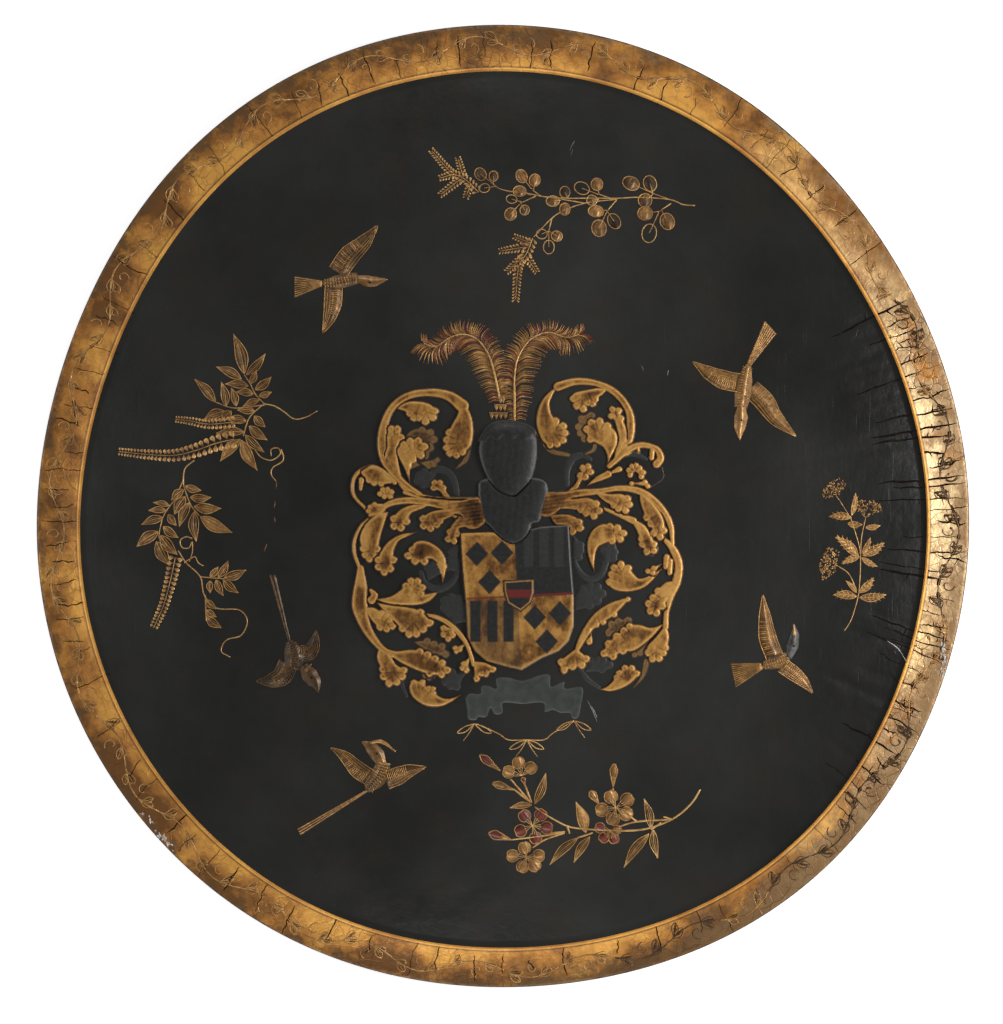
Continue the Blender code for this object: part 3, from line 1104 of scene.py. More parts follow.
@dataclass
class Hide:
    """The moulded disc of hide, black inside the band and gilt on it.

    Attributes:
        segments: Facets round the disc.
        bead_width: Width of the bead along the band's inner edge.
        foot_width: Width of the flat ring that it rests on.
        foot_lip: How far the hollow takes to climb from the ring.
    """

    face: Face
    segments: int = 720
    field_rings: int = 62
    band_rings: int = 18
    under_rings: int = 14
    bead_width: float = 0.0022
    bead_rise: float = 0.0008
    rounding: float = 0.0012
    foot_width: float = 0.006
    foot_lip: float = 0.0025

    def profile(self) -> list[tuple[float, float]]:
        """Half section of the round disc: radius and height, from the crown to the hollow.

        Returns:
            The section's points.
        """
        face, rim, inner = self.face, self.face.mean_radius, self.face.field_radius
        shares = np.linspace(0, 1, self.field_rings + 1)
        points = [(inner * share, float(face.moulded(share, 0.0))) for share in shares]
        for turn in (0.25, 0.5, 0.75, 1.0):
            aside = self.bead_width * turn
            swell = self.bead_rise * math.sin(math.pi * turn)
            points.append((inner + aside, float(face.moulded(1.0, aside / face.band)) + swell))
        start, end = self.bead_width, face.band - self.rounding
        for ring in range(1, self.band_rings + 1):
            aside = start + (end - start) * ring / self.band_rings
            points.append((inner + aside, float(face.moulded(1.0, aside / face.band))))
        for turn in (30, 60, 90):
            swing = math.radians(turn)
            points.append((rim - self.rounding * (1 - math.sin(swing)),
                face.rim_thickness - self.rounding * (1 - math.cos(swing))))
        points += [(rim, self.rounding), (rim - self.rounding * 0.3, self.rounding * 0.3),
            (rim - self.rounding, 0.0), (rim - self.rounding - self.foot_width, 0.0)]
        hollow = rim - self.rounding - self.foot_width - self.foot_lip
        points.append((hollow, float(face.moulded(1.0, (hollow - inner) / face.band)) - face.wall))
        for share in np.linspace(1, 0, self.under_rings + 1):
            wall = face.wall * math.hypot(1.0, face.edge_slope * share)
            points.append((inner * share, float(face.moulded(share, 0.0)) - wall))
        return points

    def build(self, lacquer: Material, gilt: Material) -> Shape:
        """Turn the section, warp it and give the band its gilding.

        Args:
            lacquer: Material of the black field.
            gilt: Material of the band.

        Returns:
            The piece.
        """
        shape = bmesh.new()
        verts = [shape.verts.new((radius, 0, height)) for radius, height in self.profile()]
        edges = [shape.edges.new(pair) for pair in zip(verts, verts[1:])]
        bmesh.ops.spin(shape, geom=verts + edges, cent=(0, 0, 0), axis=(0, 0, 1), angle=2 * math.pi,
            steps=self.segments, use_merge=True)
        bmesh.ops.remove_doubles(shape, verts=shape.verts, dist=0.000001)
        bmesh.ops.recalc_face_normals(shape, faces=shape.faces)
        piece = from_bmesh("hide", shape)
        self.warp(piece.data)
        piece.data.materials.append(lacquer)
        piece.data.materials.append(gilt)
        faces = piece.data.polygons
        centres, normals = rows_of(faces, "center"), rows_of(faces, "normal")
        gilded = (self.face.across(centres[:, 0], centres[:, 1]) > 0) & (normals[:, 2] > -0.3)
        faces.foreach_set("material_index", gilded.astype(np.int32))
        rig.ride(piece, BODY)
        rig.replaces(piece, HIDE_NODE)
        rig.slot(piece, Slot.HIDE.value)
        return piece

    def warp(self, mesh: bpy.types.Mesh) -> None:
        """Carry the round disc to its warped rim, and age its surface.

        Args:
            mesh: The round disc.
        """
        face = self.face
        places = rows_of(mesh.vertices, "co")
        radius = np.hypot(places[:, 0], places[:, 1])
        angle = np.arctan2(places[:, 1], places[:, 0])
        across = (radius - face.field_radius) / face.band
        inner = face.rim(angle) - face.band_at(angle)
        warped = np.where(across <= 0, inner * radius / face.field_radius,
            inner + face.band_at(angle) * across)
        places[:, 0] = face.centre[0] + warped * np.cos(angle)
        places[:, 1] = face.centre[1] + warped * np.sin(angle)
        loose = np.clip(places[:, 2] / face.rim_thickness, 0, 1)
        places[:, 2] += face.ageing(places[:, 0], places[:, 1]) * loose
        move_vertices(mesh, places)
        store(mesh, "across", across)


@dataclass(frozen=True)
class Studio:
    """Pale floor, soft lights and the camera straight above the shield.

    Attributes:
        focus_height: Height over the ground at which the photo's scale holds.
        sensor: Width of the camera's sensor in millimetres.
    """

    photo: Photo
    camera_height: float = 9.0
    focus_height: float = 0.005
    sensor: float = 36.0
    floor_size: float = 14.0

    def build(self) -> None:
        """Set up the floor, the lights and the camera."""
        self.floor()
        self.sky()
        self.lamp("key_light", (2.1, 0.05, 0.98), (0.5, 1.3), 54.0)
        self.lamp("left_fill", (-2.2, 0.1, 0.72), (1.0, 1.6), 19.0)
        self.lamp("top_fill", (-0.1, 2.3, 0.72), (1.6, 0.9), 17.0)
        self.lamp("near_fill", (-0.2, -2.3, 0.75), (1.6, 0.9), 23.0)
        self.camera()

    def floor(self) -> None:
        """A plain near-white floor."""
        material, _, shader = Finish("pale_floor", roughness=0.9, specular=0.1).start()
        shader.inputs["Base Color"].default_value = (0.8, 0.8, 0.8, 1.0)
        shader.inputs["Emission Color"].default_value = (1.0, 1.0, 1.0, 1.0)
        shader.inputs["Emission Strength"].default_value = 0.7
        shape = bmesh.new()
        bmesh.ops.create_grid(shape, x_segments=2, y_segments=2, size=self.floor_size / 2)
        floor = from_bmesh("floor", shape)
        floor.data.materials.append(material)
        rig.stage(floor)

    def sky(self) -> None:
        """A dim even light from all round."""
        world = bpy.data.worlds.new("studio")
        world.use_nodes = True
        backdrop = world.node_tree.nodes["Background"]
        backdrop.inputs[0].default_value = (0.95, 0.96, 1.0, 1.0)
        backdrop.inputs[1].default_value = 0.16
        bpy.context.scene.world = world

    def lamp(self, name: str, spot: Triple, size: tuple[float, float], power: float) -> None:
        """An area light that faces the middle of the shield.

        Args:
            name: Name of the light.
            spot: Where it hangs.
            size: Its width and depth.
            power: Its power in watts.
        """
        light = bpy.data.lights.new(name, 'AREA')
        light.shape = 'RECTANGLE'
        light.size, light.size_y = size
        light.energy = power
        light.color = (1.0, 0.985, 0.97)
        lamp = link(name, light)
        lamp.location = spot
        lean = math.atan2(math.hypot(spot[0], spot[1]), spot[2])
        lamp.rotation_euler = (0, lean, math.atan2(spot[1], spot[0]))

    def camera(self) -> None:
        """A long lens straight above, framed as the photo is."""
        data = bpy.data.cameras.new("camera")
        data.sensor_fit = 'HORIZONTAL'
        data.sensor_width = self.sensor
        reach = self.camera_height - self.focus_height
        data.lens = self.sensor * reach / (self.photo.size[0] * self.photo.pixel)
        data.clip_end = 100.0
        camera = link("camera", data)
        x, y = self.photo.place(np.array(self.photo.size) / 2 - 0.5)
        camera.location = (x, y, self.camera_height)
        scene = bpy.context.scene
        scene.camera = camera
        scene.view_settings.view_transform = 'Standard'


def segment_distance(x: Array, y: Array, start: Array, end: Array) -> tuple[Array, Array]:
    """Distance of places from a segment, and how far along it their nearest spots are.

    Args:
        x: Pixels across.
        y: Pixels down.
        start: One end.
        end: The other end.

    Returns:
        The distances, and shares along the segment.
    """
    (ax, ay), (bx, by) = start, end
    length = max((bx - ax) ** 2 + (by - ay) ** 2, 1e-9)
    share = np.clip(((x - ax) * (bx - ax) + (y - ay) * (by - ay)) / length, 0, 1)
    return np.hypot(x - ax - share * (bx - ax), y - ay - share * (by - ay)), share


def chain_distance(x: Array, y: Array, points: Array, radii: Array) -> Array:
    """Distance from a chain of round cones, negative inside it.

    Args:
        x: Pixels across.
        y: Pixels down.
        points: Joints of the chain, one to a row.
        radii: Radius at each joint.

    Returns:
        The distances.
    """
    nearest = np.full(x.shape, 1e9)
    for a, b, start, end in zip(points, points[1:], radii, radii[1:]):
        away, share = segment_distance(x, y, a, b)
        nearest = np.minimum(nearest, away - start - share * (end - start))
    return nearest


def outline_distance(x: Array, y: Array, outline: Array) -> Array:
    """Distance from a closed outline, negative inside it.

    Args:
        x: Pixels across.
        y: Pixels down.
        outline: Its corners, one to a row.

    Returns:
        The distances.
    """
    nearest = np.full(x.shape, 1e9)
    inside = np.zeros(x.shape, bool)
    for a, b in zip(outline, np.roll(outline, -1, axis=0)):
        nearest = np.minimum(nearest, segment_distance(x, y, a, b)[0])
        if a[1] != b[1]:
            edge = (b[0] - a[0]) * (y - a[1]) / (b[1] - a[1]) + a[0]
            inside ^= ((a[1] > y) != (b[1] > y)) & (x < edge)
    return np.where(inside, -nearest, nearest)


def blend_distance(first: Array, second: Array, reach: float) -> Array:
    """The nearer of two distances, run smoothly together within a reach."""
    share = np.clip(0.5 + 0.5 * (second - first) / reach, 0, 1)
    return second + (first - second) * share - reach * share * (1 - share)


@dataclass
class Relief:
    """Raised lacquer, modelled as heights over the face on a fine grid of pixels.

    Attributes:
        window: Left, top, right and bottom pixels of the grid.
        step: Pixels between the grid's points.
        skin: Thickness of the lacquer under the surface.
    """

    name: str
    face: Face
    photo: Photo
    window: tuple[float, float, float, float]
    step: float = 0.8
    skin: float = 0.0008
    foot: float = 0.0003

    def __post_init__(self) -> None:
        """Lay out the grid, with nothing on it."""
        left, top, right, bottom = self.window
        self.columns = np.arange(left, right, self.step)
        self.rows = np.arange(top, bottom, self.step)
        self.x, self.y = np.meshgrid(self.columns, self.rows)
        self.height = np.full(self.x.shape, -self.foot)
        self.marks = {name: np.zeros(self.x.shape) for name in ("inset", "groove", "gilt", "red",
            "grey")}

    def near(self, points: Array, reach: float) -> tuple[slice, slice]:
        """The part of the grid within a reach of points.

        Args:
            points: The points, one to a row.
            reach: The reach in pixels.

        Returns:
            The grid's rows and columns.
        """
        low, high = points.min(axis=0) - reach, points.max(axis=0) + reach
        left, right = np.searchsorted(self.columns, (low[0], high[0]))
        top, bottom = np.searchsorted(self.rows, (low[1], high[1]))
        return slice(top, bottom), slice(left, right)

    def lay(self, part: tuple[slice, slice], distance: Array, rise: float, edge: float = 1.8,
            groove: Array | float = 0.0, gilt: float = 1.0, keep: float = 0.35,
            loose: Array | float = 1.0, grey: float = 0.0) -> None:
        """Lay one shape over what is there already.

        Args:
            part: The part of the grid that it covers.
            distance: Distance from the shape in pixels, negative inside it.
            rise: How far it stands up from what it lies on.
            edge: Pixels that its rounded edge takes.
            groove: Depth of the grooves in it, from 0 to 1.
            gilt: How much of it is gold.
            keep: Share of the height below it that it takes on.
            loose: Where it lies over what is below, 1, and where it grows from it, 0.
            grey: How grey it is.
        """
        inward = np.clip(-distance / edge, 0, 1)
        rounded = rise * np.sqrt(1 - (1 - inward) ** 2)
        rounded = rounded - 0.45 * rise * groove * inward
        below = self.height[part]
        raised = np.maximum(below, 0)
        dug = raised * (1 - (1 - keep) * np.exp(-(np.maximum(distance, 0) / 0.8) ** 2))
        outside = np.where(below > 0, dug, np.maximum(below, -0.00022 * distance))
        inside = distance < 0
        over = np.where(inside, rounded + keep * raised, outside)
        grown = np.maximum(below, np.where(inside, rounded, -self.foot))
        self.height[part] = loose * over + (1 - loose) * grown
        inset = np.clip(-distance, 0, 9)
        was = self.marks["inset"][part]
        inset = np.where(inset < was, inset * loose + was * (1 - loose), inset)
        values = {"inset": inset, "groove": groove, "gilt": gilt, "red": 0, "grey": grey}
        for name, value in values.items():
            self.marks[name][part] = np.where(distance < 0.4, value, self.marks[name][part])
        # Painted shadow line: just outside the shape, what lies below loses its inset, which the lacquer shows dark.
        margin = (distance >= 0.4) & (distance < 1.3)
        self.marks["inset"][part] *= 1 - margin * loose

    def dye(self, mark: str, amount: Array, value: float) -> None:
        """Change a mark all over the grid by an amount from 0 to 1."""
        amount = np.clip(amount, 0, 1)
        self.marks[mark] = self.marks[mark] * (1 - amount) + value * amount

    def build(self, finish: Material, slot: Slot) -> Shape:
        """Make the grid into a closed skin of lacquer that lies on the face.

        Args:
            finish: Material of its lacquer.
            slot: The record's material slot.

        Returns:
            The piece.
        """
        rows, columns = self.x.shape
        shape = bmesh.new()
        bmesh.ops.create_grid(shape, x_segments=columns - 1, y_segments=rows - 1, size=0.5)
        spots = np.array([vert.co[:2] for vert in shape.verts]) + 0.5
        row = np.rint(spots[:, 1] * (rows - 1)).astype(int)
        column = np.rint(spots[:, 0] * (columns - 1)).astype(int)
        plan = self.photo.place(np.stack([self.x[row, column], self.y[row, column]], axis=-1))
        height = np.maximum(self.height[row, column], -self.foot)
        level = self.face.height(plan[:, 0], plan[:, 1]) + height
        for vert, (x, y), z in zip(shape.verts, plan, level):
            vert.co = (x, y, z)
        bare = height <= -self.foot * 0.99
        empty = [face for face in shape.faces if all(bare[vert.index] for vert in face.verts)]
        layers = {name: shape.verts.layers.float.new(name) for name in self.marks}
        for name, layer in layers.items():
            for vert, value in zip(shape.verts, self.marks[name][row, column]):
                vert[layer] = value
        bmesh.ops.delete(shape, geom=empty, context='FACES')
        bmesh.ops.recalc_face_normals(shape, faces=shape.faces)
        up = sum(face.normal.z for face in shape.faces)
        if up < 0:
            bmesh.ops.reverse_faces(shape, faces=shape.faces)
        bmesh.ops.solidify(shape, geom=shape.faces, thickness=self.skin)
        piece = from_bmesh(self.name, shape)
        piece.data.materials.append(finish)
        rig.ride(piece, BODY)
        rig.slot(piece, slot.value)
        return piece


@dataclass(frozen=True)
class Leaf:
    """A scalloped leaf of the mantling.

    Attributes:
        root: Pixel where it leaves its stem.
        front: Pixels along its first smooth edge, from the root.
        lobes: Pixels of the tips of its lobes.
        back: Pixels along its other smooth edge, to the root.
        lobe: Radius of its lobes in pixels.
    """

    root: Spot
    front: Path
    lobes: Path
    back: Path = ()
    lobe: float = 4.2
    coat: Coat = Coat.GOLD


@dataclass(frozen=True)
class Stem:
    """A stem of the mantling, its widths in pixels and read evenly along it."""

    spots: Path
    widths: tuple[float, ...]
    coat: Coat = Coat.GOLD


@dataclass
class Mantling:
    """The leafy scrolls at one side of the arms, raised in gold lacquer.

    Attributes:
        rises: Height of the work in each coat; then how much gold is on it, and how grey it is.
        trunk: Pixel where its trunk comes out from behind the helm; round it the lacquer is darkened to brown for some
            way, partly its own brown and partly painted shade.
        join: Pixels over which a leaf grows out of its stem.
    """

    name: str
    stems: tuple[Stem, ...]
    leaves: tuple[Leaf, ...]
    trunk: Spot = (0.0, 0.0)
    rises: Triple = (0.0005, 0.0003, 0.0012)
    gilts: Triple = (0.0, 0.34, 1.0)
    greys: Triple = (0.09, 0.0, 0.0)
    join: float = 17.0
    margin: float = 8.0

    def build(self, face: Face, photo: Photo, finish: Material) -> Shape:
        """Lay the stems and then the leaves, and make them into one piece.

        Args:
            face: The shield's face.
            photo: Scale and middle of the photo.
            finish: Material of its lacquer.

        Returns:
            The piece.
        """
        spots = pairs(sum((stem.spots for stem in self.stems), ())
            + sum((leaf.root + leaf.front + leaf.lobes for leaf in self.leaves), ()))
        low, high = spots.min(axis=0) - self.margin, spots.max(axis=0) + self.margin
        relief = Relief(self.name, face, photo, (*low, *high))
        for coat in Coat:
            for stem in self.stems:
                if stem.coat is coat:
                    self.lay_stem(relief, stem)
            for leaf in self.leaves:
                if leaf.coat is coat:
                    self.lay_leaf(relief, leaf)
        # Round the trunk the lacquer is darkened to brown in streaks: partly its own brown, partly painted shade
        # beside the helm.
        away = np.hypot(relief.x - self.trunk[0], relief.y - self.trunk[1])
        streaks = 0.75 + 0.25 * np.sin(relief.y * 1.7 + relief.x * 0.25)
        relief.dye("groove", np.exp(-(away / 38) ** 2) * streaks, 1)
        return relief.build(finish, Slot.GOLD)

    def lay_stem(self, relief: Relief, stem: Stem) -> None:
        """Lay one stem.

        Args:
            relief: Relief that it is laid on.
            stem: The stem.
        """
        run = smooth_path(stem.spots, 3.0)
        radii = read_along(stem.widths, len(run)) / 2
        part = relief.near(run, max(stem.widths) / 2 + 4)
        distance = chain_distance(relief.x[part], relief.y[part], run, radii)
        self.coat(relief, part, distance, stem.coat, 3.0, 0.0, run[[0, -1]])

    def coat(self, relief: Relief, part: tuple[slice, slice], distance: Array, coat: Coat,
            edge: float, groove: Array | float, roots: Array) -> None:
        """Lay a stem or leaf in its coat; gold ones grow out of what lies at their roots.

        Args:
            relief: Relief that it is laid on.
            part: The part of the grid that it covers.
            distance: Distance from it in pixels, negative inside it.
            coat: Its coat.
            edge: Pixels that its rounded edge takes.
            groove: Depth of its grooves, from 0 to 1.
            roots: Pixels where it grows from others.
        """
        gold = coat is Coat.GOLD
        loose = self.grown(relief, part, roots) if gold else 1.0
        round_edge = edge if gold else 1.2 + edge * (coat is Coat.BLACK)
        relief.lay(part, distance, self.rises[coat], round_edge, groove, self.gilts[coat],
            loose=loose, grey=self.greys[coat])

    def grown(self, relief: Relief, part: tuple[slice, slice], roots: Array) -> Array:
        """A mask that is 0 where a leaf or stem grows from another, 1 further off."""
        away = [np.hypot(relief.x[part] - x, relief.y[part] - y) for x, y in roots]
        return np.clip((np.min(away, axis=0) - self.join * 0.6) / (self.join * 0.4), 0, 1)

    def lay_leaf(self, relief: Relief, leaf: Leaf) -> None:
        """Lay one leaf: its smooth edges, its lobes and the grooves between them.

        Args:
            relief: Relief that it is laid on.
            leaf: The leaf.
        """
        lobes = pairs(leaf.lobes)
        edges = pairs(leaf.root + leaf.front + leaf.lobes + leaf.back)
        heart = edges.mean(axis=0)
        inward = heart - lobes
        inward /= np.linalg.norm(inward, axis=1, keepdims=True)
        centres = lobes + inward * leaf.lobe
        inner = np.vstack([pairs(leaf.root + leaf.front), lobes + inward * (leaf.lobe - 1.5),
            pairs(leaf.back + leaf.root)])
        part = relief.near(edges, leaf.lobe + 4)
        x, y = relief.x[part], relief.y[part]
        whole = outline_distance(x, y, smooth_path(inner, 2.0))
        rounds = []
        for cx, cy in centres:
            rounds.append(np.hypot(x - cx, y - cy) - leaf.lobe)
            whole = blend_distance(whole, rounds[-1], 1.6)
        nearest, second = np.sort(np.array(rounds), axis=0)[:2]
        reach = np.clip(1.0 - (nearest + leaf.lobe) / (leaf.lobe * 3.2), 0, 1)
        groove = np.exp(-((second - nearest) / 0.9) ** 2) * reach
        roots = pairs(leaf.root + leaf.back[-2:])
        self.coat(relief, part, whole, leaf.coat, 3.2, groove, roots)


LEFT_STEMS = (Stem((424, 501, 444, 503, 460, 508, 472, 513), (7, 12, 22, 32)),
    Stem((420, 494, 409, 487, 397, 476, 387, 461, 383, 442, 386, 420, 396, 404, 412, 395, 433, 393,
        450, 397, 462, 406), (6, 7, 10, 12, 11, 8, 8, 8, 8, 10, 14)),
    Stem((395, 482, 382, 470, 370, 467, 358, 473, 353, 484, 355, 496, 366, 508),
        (6, 5, 5, 5, 4, 4, 4)),
    Stem((477, 500, 452, 501, 432, 499, 418, 495), (8, 9, 8, 6)),
    Stem((477, 509, 452, 506, 430, 502, 408, 500, 390, 503, 376, 513), (20, 14, 9, 8, 7, 6)),
    Stem((376, 514, 362, 525, 355, 540, 355, 553, 361, 569), (5, 4, 4, 4, 5)),
    Stem((361, 567, 361, 585, 360, 604, 366, 625, 378, 643, 392, 654), (7, 14, 16, 11, 8, 6)),
    Stem((418, 613, 437, 616, 452, 625, 465, 640, 470, 652, 473, 663), (4, 5, 6, 6, 5, 5)),
    Stem((470, 446, 465, 460, 455, 469), (3, 6, 2), coat=Coat.BROWN),
    Stem((371, 589, 375, 594, 372, 599), (4, 7, 9)),
    Stem((400, 484, 405, 488, 413, 491), (3, 6, 3)),
    Stem((405, 492, 416, 496, 426, 498), (5, 4, 2)),
    Stem((362, 479, 361, 489), (6, 4)),
    Stem((457, 498, 455, 484, 449, 473, 438, 469, 430, 474), (5, 6, 7, 7, 5), Coat.BLACK),
    Stem((458, 560, 457, 573, 449, 584, 437, 588, 425, 582, 421, 571), (4, 5, 6, 7, 6, 4),
        Coat.BLACK),
    Stem((466, 668, 458, 676, 446, 679), (5, 6, 3), Coat.BLACK),
    Stem((404, 668, 402, 682, 407, 694), (3, 4, 3), Coat.BLACK))
LEFT_LEAVES = (Leaf((436, 474), (), (424, 468, 416, 473, 414, 482, 422, 488, 431, 486), (), 4.0,
        Coat.BLACK),
    Leaf((458, 571), (), (446, 569, 447, 558, 451, 548, 458, 544), (), 3.6, Coat.BLACK),
    Leaf((428, 580), (), (424, 566, 432, 560, 440, 563, 444, 571), (), 3.8, Coat.BLACK),
    Leaf((468, 620), (467, 606), (461, 594, 450, 592, 441, 597, 440, 607, 446, 615, 453, 624), (),
        4.4, Coat.BLACK),
    Leaf((462, 677), (), (452, 667, 444, 672, 441, 681, 449, 688, 459, 688), (), 3.8, Coat.BLACK),
    Leaf((410, 470), (405, 440, 412, 430), (422, 426, 433, 429, 438, 438, 434, 450), (426, 462),
        coat=Coat.BROWN),
    Leaf((418, 462), (), (440, 458, 437, 466, 427, 469), (), 3.0, coat=Coat.BROWN),
    Leaf((412, 640), (), (424, 637, 436, 639, 446, 645, 449, 655), (430, 652), coat=Coat.BROWN),
    Leaf((418, 665), (), (437, 673, 431, 679, 422, 676), (), 3.0, coat=Coat.BROWN),
    Leaf((459, 400), (458, 412, 453, 422), (445, 432, 443, 442, 444, 451, 448, 457, 456, 459, 463,
        456), (470, 447, 473, 434, 472, 419, 468, 409)),
    Leaf((396, 409), (), (406, 414, 411, 421, 419, 422, 428, 425, 437, 419, 439, 411),
        (430, 404, 415, 401, 404, 403)),
    Leaf((406, 488), (400, 468, 398, 451), (403, 434, 398, 425, 391, 425),
        (387, 435, 387, 447, 385, 456, 391, 471)),
    Leaf((410, 484), (405, 470, 399, 458, 397, 449),
        (402, 441, 410, 437, 420, 437, 428, 444, 425, 455, 416, 461), (411, 467, 410, 475)),
    Leaf((394, 483), (), (384, 486, 373, 486, 366, 481), (361, 472, 371, 466, 383, 469), 3.6),
    Leaf((386, 494), (), (377, 494, 381, 487, 389, 486, 395, 491, 393, 498, 383, 499), (), 3.4),
    Leaf((386, 503), (), (374, 501, 368, 505, 366, 511, 370, 517), (379, 516, 386, 510), 3.4),
    Leaf((453, 499), (444, 497, 440, 492), (430, 487, 432, 480, 439, 479, 446, 485), (447, 491),
        3.6),
    Leaf((432, 503), (412, 504, 400, 509), (390, 519, 391, 528, 399, 531, 406, 525),
        (412, 513, 424, 508)),
    Leaf((464, 507), (445, 508, 430, 511), (419, 518, 420, 527, 428, 531, 436, 528, 443, 523),
        (452, 516)),
    Leaf((474, 514), (460, 516, 452, 523), (446, 532, 445, 541, 453, 544, 457, 537),
        (460, 528, 472, 525), 3.6),
    Leaf((389, 511), (378, 513, 366, 523, 360, 537),
        (361, 551, 364, 558, 369, 562, 376, 560, 379, 552), (380, 540, 384, 526)),
    Leaf((419, 531), (402, 533, 389, 540, 381, 551),
        (375, 561, 376, 569, 383, 575, 390, 572, 394, 563), (394, 551, 399, 541, 408, 536)),
    Leaf((442, 584), (446, 570, 445, 556, 438, 546, 426, 540, 415, 541),
        (409, 547, 404, 554, 411, 561, 421, 563), (430, 558, 437, 563, 441, 573)),
    Leaf((365, 606), (374, 606), (383, 608, 390, 612, 395, 619, 396, 627, 389, 631, 380, 630),
        (374, 622, 368, 614)),
    Leaf((375, 598), (390, 595, 400, 589), (405, 581, 412, 576, 420, 577, 426, 585, 425, 593),
        (437, 591, 430, 600, 417, 604, 398, 604, 385, 602)),
    Leaf((376, 601), (393, 604, 410, 606), (424, 609, 434, 622, 427, 630, 419, 636, 410, 637, 401,
        631), (392, 618, 383, 609)),
    Leaf((455, 626), (), (441, 624, 440, 634, 448, 641, 456, 635), (), 3.6),
    Leaf((467, 641), (), (452, 646, 454, 652, 462, 650), (), 3.0),
    Leaf((471, 653), (), (461, 660, 460, 669, 467, 672), (), 3.4),
    Leaf((377, 643), (395, 649, 409, 648), (420, 646, 431, 651, 439, 657, 446, 662, 451, 670, 445,
        675, 432, 675), (417, 669, 400, 661, 386, 651)),
    Leaf((379, 645), (377, 657), (379, 668, 381, 678, 389, 686, 399, 684, 406, 677, 408, 669),
        (396, 662, 389, 651)),
    Leaf((462, 692), (452, 700, 440, 705, 425, 704, 413, 696, 409, 686),
        (411, 679, 420, 678, 427, 684, 433, 684, 436, 690), (443, 696, 451, 696), 3.4),
    Leaf((472, 659), (), (474, 680, 480, 675, 488, 675, 496, 667), (486, 661), 3.6))
RIGHT_STEMS = (Stem((608, 466, 619, 455, 628, 437, 628, 413, 615, 394, 596, 384, 575, 382, 557,
        387), (6, 8, 10, 8, 8, 7, 8, 10)),
    Stem((617, 458, 630, 448, 643, 445, 655, 449, 659, 458, 655, 464), (6, 8, 7, 6, 8, 9)),
    Stem((660, 467, 661, 478, 647, 488), (1.6, 1.6, 1.6), coat=Coat.BROWN),
    Stem((546, 504, 572, 494, 597, 491, 618, 488, 636, 490, 650, 498, 662, 511, 669, 525, 671, 543),
        (26, 11, 8, 6, 7, 8, 8, 7, 5)),
    Stem((600, 507, 617, 514, 632, 520), (4, 5, 8)),
    Stem((662, 538, 671, 548, 677, 563, 675, 580, 669, 596, 665, 611, 664, 626),
        (5, 9, 9, 10, 7, 6, 7)),
    Stem((536, 434, 549, 450, 567, 455), (3, 6, 5), coat=Coat.BROWN),
    Stem((584, 454, 592, 450, 594, 440), (3, 5, 4), coat=Coat.BROWN),
    Stem((645, 660, 641, 675, 632, 686), (7, 5, 2), coat=Coat.BROWN),
    Stem((651, 449, 650, 458), (6, 6)),
    Stem((636, 446, 637, 451), (5, 4)),
    Stem((618, 469, 611, 472), (7, 4)),
    Stem((607, 474, 596, 479, 586, 485), (8, 7, 2)),
    Stem((665, 556, 664, 566), (7, 6)),
    Stem((669, 560, 668, 572), (6, 6)),
    Stem((588, 628, 588, 640), (4, 8)),
    Stem((566, 484, 566, 470, 571, 459, 581, 455, 589, 459), (5, 6, 8, 6, 4), Coat.BLACK),
    Stem((613, 462, 622, 455, 634, 454, 645, 459), (4, 6, 6, 3), Coat.BLACK),
    Stem((572, 556, 578, 570, 589, 578, 599, 574, 604, 562, 607, 550), (4, 5, 6, 7, 7, 5),
        Coat.BLACK),
    Stem((577, 664, 586, 677, 598, 686), (3, 5, 3), Coat.BLACK))
